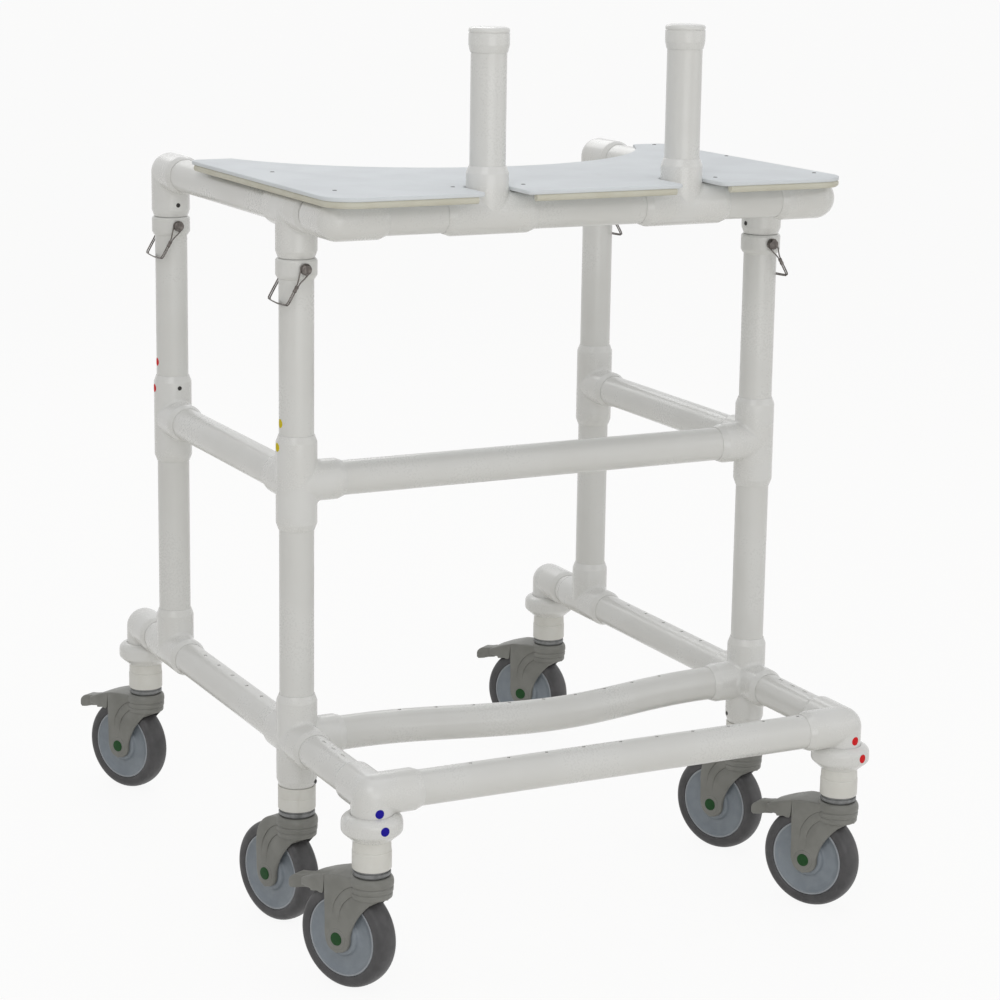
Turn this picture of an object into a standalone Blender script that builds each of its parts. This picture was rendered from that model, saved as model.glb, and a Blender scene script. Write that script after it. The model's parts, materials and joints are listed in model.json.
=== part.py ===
"""Aquatic platform walker: a pipe frame on six casters with a height-adjustable forearm table.

Metres, +Z up, floor at Z = 0. +X runs to the right along the front rails, +Y from the front
rails to the open rear where the user stands. The design is laid out from the middle of the two
front posts, and the walker empty carries it so that its footprint is centred on the origin.
"""

from math import atan2, cos, pi, radians, sin

import bmesh
import bpy
from mathutils import Matrix, Vector

# Frame layout, between the axes of pipes
POST_SPAN = 0.640
POST_DEPTH = 0.433
FRONT_REACH = 0.2265
REAR_REACH = 0.125
BASE_HEIGHT = 0.241
MID_HEIGHT = 0.562
TABLE_HEIGHT = 0.890
TABLE_OVERHANG = 0.119
GRIP_SPAN = 0.260
FOOTPRINT_X = 0.013
FOOTPRINT_Y = -0.203

# Pipes and fittings
PIPE_OD = 0.0422
PIPE_WALL = 0.0036
FITTING_OD = 0.050
ARM_LENGTH = 0.058
SOCKET_STOP = 0.026
BALL_SWELL = 0.0002
BRANCH_STEP = 0.0004
PASSAGE_STEP = 0.0008
PASSAGE_LAP = 0.006
CLEARANCE = 0.0003
PIPE_SIDES = 12
PASSAGE_SIDES = 8
SMALL_SIDES = 6
WIRE_SIDES = 4
CUT_MARGIN = 0.002

# Drain holes and slots
HOLE_RADIUS = 0.0022
DRAIN_SPACING = 0.050
FRONT_HOLES = 10
FRONT_HOLE_OFFSET = 0.030
CROSS_HOLES = 9
CROSS_SPACING = 0.046
SIDE_HOLES = 5
STUB_SLOTS = 3
STUB_SLOT_PITCH = 0.028
STUB_SLOT_SIZE = (0.004, 0.012)

# Bent cross rail
BOW_DEPTH = 0.037
BOW_HALF_LENGTH = 0.245
BOW_CENTRE = 0.010
BOW_STATIONS = 12

# Telescoping table legs and their locks
LEG_OD = 0.0334
LEG_WALL = 0.0034
LEG_TAIL = 0.030
LEG_SIDES = 12
COUPLING_LENGTH = 0.024
LOCK_DROP = 0.0105
LOCK_PITCH = 0.0254
LOCK_HOLES = 7
LOCK_RADIUS = 0.0032
LOCK_HOLE_RADIUS = 0.0040
LOCK_HEAD_RADIUS = 0.0065
LOCK_HEAD_LENGTH = 0.008
LOCK_HEAD_SIDES = 10
LOCK_TIP = 0.009
BAIL_WIRE = 0.0008
BAIL_ARM = 0.0475
BAIL_ANGLE = radians(30)
BAIL_STRANDS = 0.0022
BAIL_REACH = 0.0045
FERRULE_RADIUS = 0.0024
FERRULE_START = 0.022
FERRULE_LENGTH = 0.008

# Hand grips
GRIP_TOP = 0.2145
CAP_LENGTH = 0.0225
CAP_OD = 0.0495
CAP_DOME = 0.003
CAP_SKIRT = 0.007
CAP_ROOF = 0.006

# Support table
BOARD_HALF_WIDTH = 0.339
BOARD_FRONT = 0.154
BOARD_REAR = 0.285
BOARD_THICKNESS = 0.005
BOARD_CORNER = 0.028
ARC_RADIUS = 0.310
ARC_CREST = 0.082
NOTCH_GAP = 0.0022
NOTCH_LIP = 0.008

# Casters, in their own frame: the swivel axis is Z, the wheel trails to +Y, X is across
WHEEL_RADIUS = 0.0635
WHEEL_TRAIL = 0.034
WHEEL_SIDES = 16
TYRE_HALF_WIDTH = 0.0158
TREAD_HALF_WIDTH = 0.009
TYRE_SHOULDER = 0.003
RIM_RADIUS = 0.049
RIM_HALF_WIDTH = 0.0142
RIM_RING = 0.006
WEB_HALF_WIDTH = 0.0105
HUB_RADIUS = 0.0165
HUB_PLAY = 0.0006
AXLE_RADIUS = 0.005
AXLE_PLAY = 0.0003
AXLE_CAP_RADIUS = 0.0075
AXLE_CAP_LENGTH = 0.0028
FORK_INNER = 0.0176
FORK_OUTER = 0.022
FORK_FOOT = 0.0175
FORK_REAR = 0.0188
FORK_FRONT = 0.020
FORK_ROOM = 0.0037
FORK_RISE = 0.0145
FORK_SHOULDER = 0.010
FORK_TOE = 0.010
FORK_SLOPE = 0.040
CROWN_RADIUS = 0.026
CROWN_DEPTH = 0.0225
RING_RADIUS = 0.0223
RING_GAP = 0.0013
RING_LENGTH = 0.0077
SLEEVE_RADIUS = 0.0232
STEM_RADIUS = 0.0058
STEM_DEPTH = 0.0140
NECK_RADIUS = 0.0220
NECK_LENGTH = 0.008
COLLAR_RADIUS = 0.0365
COLLAR_LIP = 0.004
COLLAR_TAPER = 0.014
COLLAR_ROUND = 0.007
SPIGOT_LENGTH = 0.020
CORNER_DROP = 0.050

# Brake pedals, from their hinge
PEDAL_BACK = 0.003
PEDAL_DROP = 0.0067
PEDAL_PIN_RADIUS = 0.0020
PEDAL_PIN_INSET = 0.002
PEDAL_TONGUE = 0.012
PEDAL_PLAY = 0.0005
PEDAL_HALF_WIDTH = 0.022
PEDAL_WALL = 0.0045
PEDAL_NECK = 0.0168
PEDAL_REACH = 0.054
PEDAL_BROW = 0.036
PEDAL_CREST = 0.0017
PEDAL_SLOPE = 0.0123
PEDAL_SKIRT = 0.0215
PEDAL_SAG = 0.0258
PEDAL_SLOT = 0.006
TREAD_HALF = 0.011
TREAD_REACH = 0.0825
TREAD_THICKNESS = 0.012
TREAD_FALL = 0.0200

X, Y, Z = Vector((1, 0, 0)), Vector((0, 1, 0)), Vector((0, 0, 1))

PIPE_R = PIPE_OD / 2
BORE_R = PIPE_R - PIPE_WALL
FITTING_R = FITTING_OD / 2
LEG_R = LEG_OD / 2
PIPE_START = SOCKET_STOP + CLEARANCE
PASSAGE_REACH = SOCKET_STOP + CUT_MARGIN
POST_X = POST_SPAN / 2
UPPER_POST_TOP = TABLE_HEIGHT - ARM_LENGTH - CLEARANCE
LOCK_HEIGHT = UPPER_POST_TOP - LOCK_DROP
AXLE = Vector((0, WHEEL_TRAIL, WHEEL_RADIUS))
CROWN_TOP = 2 * WHEEL_RADIUS + FORK_RISE
PEDAL_HINGE = Vector((0, WHEEL_TRAIL + PEDAL_BACK, CROWN_TOP - PEDAL_DROP))

# name: (side of the walker, distance behind the front posts, resting swivel angle, locking)
CASTERS = {
    "front_left": (-1, -FRONT_REACH, radians(27), True),
    "middle_left": (-1, 0.0, radians(19), False),
    "rear_left": (-1, POST_DEPTH + REAR_REACH, radians(28), True),
    "front_right": (1, -FRONT_REACH, radians(28), True),
    "middle_right": (1, 0.0, radians(24), False),
    "rear_right": (1, POST_DEPTH + REAR_REACH, radians(34), True),
}
SIDES = {"left": -1, "right": 1}
POSTS = {"front": 0.0, "rear": POST_DEPTH}


def material(name, colour, roughness, metallic=0.0):
    """A plain principled material."""
    made = bpy.data.materials.new(name)
    made.use_nodes = True
    shader = made.node_tree.nodes["Principled BSDF"]
    shader.inputs["Base Color"].default_value = (*colour, 1.0)
    shader.inputs["Roughness"].default_value = roughness
    shader.inputs["Metallic"].default_value = metallic
    return made


def mesh_object(mesh_bm, name="blank"):
    """Turn a bmesh into an object, with its faces pointing out."""
    bmesh.ops.remove_doubles(mesh_bm, verts=mesh_bm.verts, dist=1e-6)
    bmesh.ops.recalc_face_normals(mesh_bm, faces=mesh_bm.faces)
    mesh = bpy.data.meshes.new(name)
    mesh_bm.to_mesh(mesh)
    mesh_bm.free()
    made = bpy.data.objects.new(name, mesh)
    bpy.context.scene.collection.objects.link(made)
    return made


def facing(at, towards):
    """The placement that puts local Z along a direction."""
    return Matrix.Translation(at) @ Vector(towards).to_track_quat("Z", "Y").to_matrix().to_4x4()


def turned(profile, at=(0, 0, 0), towards=Z, sides=PIPE_SIDES, phase=0.0):
    """Spin a profile of (radius, height) points round an axis into one closed solid."""
    bm = bmesh.new()
    points = [bm.verts.new((r * cos(phase), r * sin(phase), h)) for r, h in profile]
    for first, second in zip(points, points[1:] + points[:1]):
        if first.co.xy.length > 1e-9 or second.co.xy.length > 1e-9:
            bm.edges.new((first, second))
    bmesh.ops.spin(
        bm,
        geom=bm.verts[:] + bm.edges[:],
        cent=(0, 0, 0),
        axis=Z,
        angle=2 * pi,
        steps=sides,
        use_merge=True,
    )
    bmesh.ops.transform(bm, matrix=facing(at, towards), verts=bm.verts)
    return mesh_object(bm)


def rod(radius, start, end, sides=PIPE_SIDES, phase=0.0):
    """A solid round bar between two points."""
    start, end = Vector(start), Vector(end)
    length = (end - start).length
    profile = [(0, 0), (radius, 0), (radius, length), (0, length)]
    return turned(profile, start, end - start, sides, phase)


def extruded(outline, low, high):
    """A solid from a (Y, Z) outline, extruded along X."""
    bm = bmesh.new()
    face = bm.faces.new([bm.verts.new((low, y, z)) for y, z in outline])
    moved = bmesh.ops.extrude_face_region(bm, geom=[face])["geom"]
    verts = [part for part in moved if isinstance(part, bmesh.types.BMVert)]
    bmesh.ops.translate(bm, vec=(high - low, 0, 0), verts=verts)
    return mesh_object(bm)


def plate(outline, bottom, top):
    """A solid from an (X, Y) outline, extruded along Z."""
    bm = bmesh.new()
    face = bm.faces.new([bm.verts.new((x, y, bottom)) for x, y in outline])
    moved = bmesh.ops.extrude_face_region(bm, geom=[face])["geom"]
    verts = [part for part in moved if isinstance(part, bmesh.types.BMVert)]
    bmesh.ops.translate(bm, vec=(0, 0, top - bottom), verts=verts)
    return mesh_object(bm)


def swept(points, radius, sides, across):
    """A solid round bar along a path, its rings square to the path and kept from twisting."""
    bm = bmesh.new()
    points = [Vector(point) for point in points]
    tangents = [
        (points[min(i + 1, len(points) - 1)] - points[max(i - 1, 0)]).normalized()
        for i in range(len(points))
    ]
    rings = []
    for i, (point, tangent) in enumerate(zip(points, tangents)):
        if i:
            across = tangents[i - 1].rotation_difference(tangent) @ across
        across = (across - tangent * across.dot(tangent)).normalized()
        other = tangent.cross(across)
        ring = []
        for step in range(sides):
            turn = 2 * pi * step / sides
            ring.append(bm.verts.new(point + (across * cos(turn) + other * sin(turn)) * radius))
        rings.append(ring)
    for first, second in zip(rings, rings[1:]):
        for i in range(sides):
            j = (i + 1) % sides
            bm.faces.new((first[i], first[j], second[j], second[i]))
    bm.faces.new(rings[0])
    bm.faces.new(rings[-1])
    return mesh_object(bm)


def combine(body, tools, operation, solver="EXACT"):
    """Join the tools to the body or cut them from it, one Boolean after another."""
    for tool in tools:
        step = body.modifiers.new(operation.title(), "BOOLEAN")
        step.operation = operation
        step.object = tool
        step.solver = solver
        graph = bpy.context.evaluated_depsgraph_get()
        mesh = bpy.data.meshes.new_from_object(body.evaluated_get(graph))
        body.modifiers.clear()
        spent = body.data
        body.data = mesh
        bpy.data.meshes.remove(spent)
        bpy.data.meshes.remove(tool.data)
    return body


def shaped(solids, cuts=(), solver="EXACT"):
    """One solid from several that overlap, less the cuts."""
    body = combine(solids[0], solids[1:], "UNION", solver)
    return combine(body, cuts, "DIFFERENCE", solver)


def fitting(solids, cuts):
    """A pipe fitting, whose crossing round arms need the solver for closed meshes."""
    return shaped(solids, cuts, "MANIFOLD")


def finish(body, name, finish_material, parent, origin=(0, 0, 0)):
    """Name a finished piece, give it its material and put its origin on its own axis."""
    body.name = name
    body.data.name = name
    body.data.transform(Matrix.Translation(-Vector(origin)))
    body.data.materials.clear()
    body.data.materials.append(finish_material)
    body.data.shade_smooth()
    body.data.set_sharp_from_angle(angle=radians(30))
    body.parent = parent
    body.location = origin
    return body


def copy_of(original, name, parent, origin):
    """Another piece with the same mesh."""
    made = bpy.data.objects.new(name, original.data)
    bpy.context.scene.collection.objects.link(made)
    made.parent = parent
    made.location = origin
    return made


def empty(name, parent=None, at=(0, 0, 0), turn=0.0):
    """An axis or carrier for pieces."""
    made = bpy.data.objects.new(name, None)
    bpy.context.scene.collection.objects.link(made)
    made.parent = parent
    made.location = at
    made.rotation_euler.z = turn
    return made


def arm(at, towards, length=ARM_LENGTH, rank=0):
    """One socket arm of a fitting, solid; branches are a hair slimmer and turned a little."""
    at, towards = Vector(at), Vector(towards)
    phase = rank * pi / PIPE_SIDES / 2
    return rod(FITTING_R - rank * BRANCH_STEP, at, at + towards * length, PIPE_SIDES, phase)


def run(at, along, rank=0):
    """Two opposite socket arms in one piece."""
    return arm(at - along * ARM_LENGTH, along, 2 * ARM_LENGTH, rank)


def ball(at):
    """The rounded outer corner of an elbow."""
    radius = FITTING_R + BALL_SWELL
    steps = PIPE_SIDES // 2 - 2
    profile = [
        (radius * sin(pi * i / steps), -radius * cos(pi * i / steps)) for i in range(steps + 1)
    ]
    profile[0], profile[-1] = (0, -radius), (0, radius)
    return turned(profile, at, Z, phase=pi / PIPE_SIDES)


def passage(start, end, rank=0):
    """The open way inside pipes and fittings, from one place to another."""
    phase = rank * pi / PASSAGE_SIDES / 2
    return rod(BORE_R - rank * PASSAGE_STEP, start, end, PASSAGE_SIDES, phase)


def mouth(at, towards, length=ARM_LENGTH):
    """The wide part of a socket that a pipe goes into, down to its stop."""
    at, towards = Vector(at), Vector(towards)
    end = at + towards * (length + CUT_MARGIN)
    return rod(PIPE_R + CLEARANCE, at + towards * SOCKET_STOP, end)


def socket_cuts(at, towards, length=ARM_LENGTH, rank=1):
    """The socket of a branch, and the passage behind it to the middle of the fitting."""
    at, towards = Vector(at), Vector(towards)
    start = at - towards * PASSAGE_LAP / (1 + rank)
    return [mouth(at, towards, length), passage(start, at + towards * PASSAGE_REACH, rank)]


def run_cuts(at, along, rank=0):
    """The two sockets of a run and the passage between them."""
    reach = along * PASSAGE_REACH
    return [mouth(at, along), mouth(at, -along), passage(at - reach, at + reach, rank)]


def tube(start, end, radius=PIPE_R, wall=PIPE_WALL):
    """An open pipe between two points."""
    start, end = Vector(start), Vector(end)
    length = (end - start).length
    profile = [(radius - wall, 0), (radius, 0), (radius, length), (radius - wall, length)]
    return turned(profile, start, end - start)


def drain_cuts(places):
    """Round drain holes through the top wall of a pipe at the base height."""
    cuts = []
    for x, y in places:
        low = (x, y, BASE_HEIGHT + PIPE_R / 2)
        high = (x, y, BASE_HEIGHT + PIPE_R + CUT_MARGIN)
        cuts.append(rod(HOLE_RADIUS, low, high, SMALL_SIDES))
    return cuts


def bow(x):
    """How far the bent cross rail stands forward at a place along it."""
    away = min(abs(x - BOW_CENTRE) / BOW_HALF_LENGTH, 1.0)
    return BOW_DEPTH * (1 + cos(pi * away)) / 2


def base_rails(walker, pvc):
    """The straight front rail, the bent cross rail behind it and the two side rails."""
    end = POST_X - PIPE_START
    body = tube((-end, -FRONT_REACH, BASE_HEIGHT), (end, -FRONT_REACH, BASE_HEIGHT))
    middle = (FRONT_HOLES - 1) / 2
    xs = [FRONT_HOLE_OFFSET + (i - middle) * DRAIN_SPACING for i in range(FRONT_HOLES)]
    combine(body, drain_cuts([(x, -FRONT_REACH) for x in xs]), "DIFFERENCE")
    finish(body, "base_front_rail", pvc, walker)

    half = BOW_STATIONS // 2
    reach = [end * i / half for i in range(-half, half + 1)]
    over = [-end - CUT_MARGIN, *reach, end + CUT_MARGIN]
    path = [(x, -bow(x), BASE_HEIGHT) for x in reach]
    inner = [(x, -bow(x), BASE_HEIGHT) for x in over]
    body = shaped([swept(path, PIPE_R, PIPE_SIDES, Z)], [swept(inner, BORE_R, PASSAGE_SIDES, Z)])
    middle = (CROSS_HOLES - 1) / 2
    xs = [(i - middle) * CROSS_SPACING for i in range(CROSS_HOLES)]
    combine(body, drain_cuts([(x, -bow(x)) for x in xs]), "DIFFERENCE")
    finish(body, "base_cross_rail", pvc, walker)

    for side, sign in SIDES.items():
        x = sign * POST_X
        start = (x, PIPE_START, BASE_HEIGHT)
        body = tube(start, (x, POST_DEPTH - PIPE_START, BASE_HEIGHT))
        middle = (SIDE_HOLES - 1) / 2
        ys = [POST_DEPTH / 2 + (i - middle) * DRAIN_SPACING for i in range(SIDE_HOLES)]
        combine(body, drain_cuts([(x, y) for y in ys]), "DIFFERENCE")
        finish(body, f"base_side_rail_{side}", pvc, walker)


def base_fittings(walker, pvc):
    """Front corners with their side stubs, the five-way junctions and the rear corners."""
    for side, sign in SIDES.items():
        inward = Vector((-sign, 0, 0))
        corner = Vector((sign * POST_X, -FRONT_REACH, BASE_HEIGHT))
        stub_end = FRONT_REACH - PIPE_START
        solids = [
            arm(corner, -Z, CORNER_DROP),
            ball(corner),
            arm(corner, Y, rank=1),
            arm(corner, inward, rank=2),
            rod(PIPE_R, corner + Y * SOCKET_STOP, corner + Y * stub_end),
        ]
        cuts = [
            passage(corner - Y * PASSAGE_LAP, corner + Y * (stub_end + CUT_MARGIN)),
            *socket_cuts(corner, -Z, CORNER_DROP),
            *socket_cuts(corner, inward, rank=2),
        ]
        middle = FRONT_REACH / 2
        width, length = STUB_SLOT_SIZE
        for i in range(STUB_SLOTS):
            y = middle + (i - (STUB_SLOTS - 1) / 2) * STUB_SLOT_PITCH
            x = corner.x
            outline = [
                (x - width / 2, corner.y + y - length / 2),
                (x + width / 2, corner.y + y - length / 2),
                (x + width / 2, corner.y + y + length / 2),
                (x - width / 2, corner.y + y + length / 2),
            ]
            roof = BASE_HEIGHT + PIPE_R
            cuts.append(plate(outline, roof - PIPE_R / 2, roof + CUT_MARGIN))
        finish(fitting(solids, cuts), f"base_corner_{side}", pvc, walker)

        junction = Vector((sign * POST_X, 0, BASE_HEIGHT))
        solids = [run(junction, Z), run(junction, Y, rank=1), arm(junction, inward, rank=2)]
        cuts = [
            *run_cuts(junction, Z),
            *run_cuts(junction, Y, rank=1),
            *socket_cuts(junction, inward, rank=2),
        ]
        finish(fitting(solids, cuts), f"base_junction_{side}", pvc, walker)

        tee = Vector((sign * POST_X, POST_DEPTH, BASE_HEIGHT))
        elbow = tee + Y * REAR_REACH
        solids = [
            run(tee, Y),
            arm(tee, Z, rank=1),
            rod(PIPE_R, tee + Y * SOCKET_STOP, elbow - Y * SOCKET_STOP),
            arm(elbow, -Y),
            ball(elbow),
            arm(elbow, -Z, CORNER_DROP, rank=1),
        ]
        cuts = [
            passage(tee - Y * PASSAGE_REACH, elbow + Y * PASSAGE_LAP),
            mouth(tee, -Y),
            *socket_cuts(tee, Z),
            *socket_cuts(elbow, -Z, CORNER_DROP),
        ]
        finish(fitting(solids, cuts), f"base_rear_corner_{side}", pvc, walker)


def lower_posts(walker, pvc):
    """The four lower posts with the mid-height fittings fixed on them."""
    for side, sign in SIDES.items():
        for place, y in POSTS.items():
            centre = Vector((sign * POST_X, y, MID_HEIGHT))
            foot = Vector((sign * POST_X, y, BASE_HEIGHT + PIPE_START))
            rail = Y if place == "front" else -Y
            inward = Vector((-sign, 0, 0))
            solids = [run(centre, Z), rod(PIPE_R, foot, centre), arm(centre, rail, rank=1)]
            cuts = [
                passage(foot - Z * CUT_MARGIN, centre + Z * PASSAGE_REACH),
                mouth(centre, Z),
                *socket_cuts(centre, rail),
            ]
            if place == "front":
                solids.append(arm(centre, inward, rank=2))
                cuts += socket_cuts(centre, inward, rank=2)
            finish(fitting(solids, cuts), f"lower_post_{place}_{side}", pvc, walker)


def mid_rails(walker, pvc):
    """The left, right and front rails at mid height."""
    end = POST_X - PIPE_START
    finish(tube((-end, 0, MID_HEIGHT), (end, 0, MID_HEIGHT)), "mid_rail_front", pvc, walker)
    for side, sign in SIDES.items():
        x = sign * POST_X
        body = tube((x, PIPE_START, MID_HEIGHT), (x, POST_DEPTH - PIPE_START, MID_HEIGHT))
        finish(body, f"mid_rail_{side}", pvc, walker)


def upper_posts(walker, pvc):
    """The four upper posts, each with the coupling on top that the lock pin goes through."""
    foot = MID_HEIGHT + PIPE_START
    ledge = UPPER_POST_TOP - COUPLING_LENGTH
    profile = [
        (BORE_R, foot),
        (PIPE_R, foot),
        (PIPE_R, ledge),
        (FITTING_R, ledge),
        (FITTING_R, UPPER_POST_TOP),
        (BORE_R, UPPER_POST_TOP),
    ]
    through = FITTING_R + CUT_MARGIN
    low, high = (0, -through, LOCK_HEIGHT), (0, through, LOCK_HEIGHT)
    hole = rod(LOCK_HOLE_RADIUS, low, high, SMALL_SIDES)
    first = shaped([turned(profile)], [hole])
    for side, sign in SIDES.items():
        for place, y in POSTS.items():
            name = f"upper_post_{place}_{side}"
            at = (sign * POST_X, y, 0)
            if first.parent is None:
                finish(first, name, pvc, walker)
                first.location = at
            else:
                copy_of(first, name, walker, at)


def bail_path(sign):
    """The wire of a lock pin: from the head, round the post and back, as one doubled strand."""
    down = Vector((sign * sin(BAIL_ANGLE), 0, -cos(BAIL_ANGLE)))
    apart = Vector((cos(BAIL_ANGLE), 0, sign * sin(BAIL_ANGLE)))
    front = -(FITTING_R + BAIL_REACH)
    rear = FITTING_R + BAIL_REACH
    pair = BAIL_STRANDS / 2
    loop = LOCK_RADIUS + CLEARANCE + BAIL_WIRE
    beside = LOCK_HEAD_RADIUS + BAIL_WIRE
    half = [
        (0.0, LOCK_HEAD_RADIUS - 2 * BAIL_WIRE, front),
        (0.0, beside, front),
        (LOCK_HEAD_RADIUS, beside, front),
        (FERRULE_START, pair, front),
        (BAIL_ARM, pair, front),
        (BAIL_ARM, pair, rear),
        (LOCK_HEAD_RADIUS * 2, pair, rear),
        (LOCK_RADIUS, loop, rear),
        (-loop, loop / 2, rear),
    ]
    near = [down * t + apart * w + Y * y for t, w, y in half]
    far = [down * t - apart * w + Y * y for t, w, y in reversed(half)]
    return near + far, down, front


def lock_pins(walker, steel):
    """The four lock pins with their wire bails, each turning about its own pin."""
    for side, sign in SIDES.items():
        path, down, front = bail_path(sign)
        head = -(FITTING_R + CLEARANCE)
        tip = FITTING_R + LOCK_TIP
        ferrule_at = down * FERRULE_START + Y * front
        solids = [
            rod(LOCK_HEAD_RADIUS, (0, head - LOCK_HEAD_LENGTH, 0), (0, head, 0), LOCK_HEAD_SIDES),
            rod(LOCK_RADIUS, (0, head - LOCK_HEAD_LENGTH / 2, 0), (0, tip, 0), SMALL_SIDES),
            swept(path, BAIL_WIRE, WIRE_SIDES, Y),
            rod(FERRULE_RADIUS, ferrule_at, ferrule_at + down * FERRULE_LENGTH, SMALL_SIDES),
        ]
        pin = shaped(solids)
        for place, y in POSTS.items():
            name = f"lock_pin_{place}_{side}"
            at = (sign * POST_X, y, LOCK_HEIGHT)
            if pin.parent is None:
                finish(pin, name, steel, walker)
                pin.location = at
            else:
                copy_of(pin, name, walker, at)


def table_side_rails(table, pvc):
    """The side rails of the table frame, with their fittings and the two telescoping legs."""
    leg_bore = LEG_R - LEG_WALL
    lowest = LOCK_HEIGHT - (LOCK_HOLES - 1) * LOCK_PITCH
    for side, sign in SIDES.items():
        inward = Vector((-sign, 0, 0))
        rear = Vector((sign * POST_X, POST_DEPTH, TABLE_HEIGHT))
        tee = Vector((sign * POST_X, 0, TABLE_HEIGHT))
        corner = tee - Y * TABLE_OVERHANG
        solids = [
            run(tee, Y),
            rod(PIPE_R, corner + Y * SOCKET_STOP, rear - Y * SOCKET_STOP),
            arm(tee, -Z, rank=1),
            arm(rear, -Y),
            ball(rear),
            arm(rear, -Z, rank=1),
            arm(corner, Y),
            ball(corner),
            arm(corner, inward, rank=1),
        ]
        lap = Y * PASSAGE_LAP
        cuts = [passage(corner - lap, rear + lap), *socket_cuts(corner, inward)]
        for top in (tee, rear):
            foot = Vector((top.x, top.y, lowest - LEG_TAIL))
            solids.append(rod(LEG_R, foot, top - Z * BORE_R / 2, LEG_SIDES, pi / LEG_SIDES))
            cuts.append(rod(leg_bore, foot - Z * CUT_MARGIN, top, PASSAGE_SIDES, pi / PASSAGE_SIDES))
            for i in range(LOCK_HOLES):
                z = LOCK_HEIGHT - i * LOCK_PITCH
                through = Y * (LEG_R + CUT_MARGIN)
                at = Vector((top.x, top.y, z))
                cuts.append(rod(LOCK_HOLE_RADIUS, at - through, at + through, SMALL_SIDES))
        finish(fitting(solids, cuts), f"table_side_rail_{side}", pvc, table)


def table_front_rail(table, pvc):
    """The front rail of the table frame, with the two tees that hold the grips."""
    end = Vector((POST_X - PIPE_START, 0, 0))
    middle = Vector((0, -TABLE_OVERHANG, TABLE_HEIGHT))
    solids = [rod(PIPE_R, middle - end, middle + end)]
    over = end + X * CUT_MARGIN
    cuts = [passage(middle - over, middle + over)]
    for sign in SIDES.values():
        tee = middle + X * sign * GRIP_SPAN / 2
        solids += [run(tee, X), arm(tee, Z, rank=1)]
        cuts += socket_cuts(tee, Z)
    finish(fitting(solids, cuts), "table_front_rail", pvc, table)


def hand_grips(table, pvc):
    """The two upright grips, each a pipe with its end cap."""
    foot = PIPE_START
    cap_r = CAP_OD / 2
    skirt = GRIP_TOP - CAP_LENGTH - CAP_SKIRT
    profile = [
        (BORE_R, foot),
        (PIPE_R, foot),
        (PIPE_R, skirt),
        (PIPE_R + CLEARANCE * 2, skirt),
        (cap_r - CLEARANCE * 2, GRIP_TOP - CAP_LENGTH),
        (cap_r, GRIP_TOP - CAP_DOME),
        (cap_r - CAP_DOME, GRIP_TOP - CAP_DOME / 4),
        (0, GRIP_TOP),
        (0, GRIP_TOP - CAP_ROOF),
        (BORE_R, GRIP_TOP - CAP_ROOF),
    ]
    first = turned(profile, (0, -TABLE_OVERHANG, TABLE_HEIGHT))
    finish(first, "hand_grip_left", pvc, table)
    first.location = (-GRIP_SPAN / 2, 0, 0)
    copy_of(first, "hand_grip_right", table, (GRIP_SPAN / 2, 0, 0))


def arc(centre, radius, start, end, steps):
    """Points along a circular arc, ends included."""
    angles = [start + (end - start) * i / steps for i in range(steps + 1)]
    return [(centre[0] + radius * cos(a), centre[1] + radius * sin(a)) for a in angles]


def bend(start, corner, end, steps):
    """Points along a smooth bend that a corner draws out, ends included."""
    points = []
    for i in range(steps + 1):
        t = i / steps
        weights = ((1 - t) ** 2, 2 * t * (1 - t), t**2)
        points.append(
            tuple(sum(w * p[k] for w, p in zip(weights, (start, corner, end))) for k in range(2))
        )
    return points


def table_board(table, sheet):
    """The flat support table: a sheet with an arc cut out for the body and notches for the grips."""
    bottom = TABLE_HEIGHT + FITTING_R + BALL_SWELL + CLEARANCE
    centre_y = ARC_CREST + ARC_RADIUS
    rise = centre_y - BOARD_REAR
    half_mouth = (ARC_RADIUS**2 - rise**2) ** 0.5
    spread = atan2(half_mouth, rise)
    start, end = -pi / 2 - spread, -pi / 2 + spread
    wide, r = BOARD_HALF_WIDTH, BOARD_CORNER
    outline = arc((wide - r, -BOARD_FRONT + r), r, -pi / 2, 0, 4)
    outline += arc((wide - r, BOARD_REAR - r), r, 0, pi / 2, 4)
    outline += arc((0, centre_y), ARC_RADIUS, end, start, 20)
    outline += arc((-wide + r, BOARD_REAR - r), r, pi / 2, pi, 4)
    outline += arc((-wide + r, -BOARD_FRONT + r), r, pi, 3 * pi / 2, 4)
    body = plate(outline, bottom, bottom + BOARD_THICKNESS)
    notch = FITTING_R + NOTCH_GAP
    flare = notch + NOTCH_LIP
    front = -BOARD_FRONT
    cuts = []
    for sign in SIDES.values():
        x = sign * GRIP_SPAN / 2
        shape = [(x - flare, front - CUT_MARGIN), (x + flare, front - CUT_MARGIN)]
        shape += arc((x + flare, front + NOTCH_LIP), NOTCH_LIP, 3 * pi / 2, pi, 3)
        shape += arc((x, -TABLE_OVERHANG), notch, 0, pi, 10)
        shape += arc((x - flare, front + NOTCH_LIP), NOTCH_LIP, 0, -pi / 2, 3)
        cuts.append(plate(shape, bottom - CUT_MARGIN, bottom + BOARD_THICKNESS + CUT_MARGIN))
    finish(combine(body, cuts, "DIFFERENCE"), "table_board", sheet, table)


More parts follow.
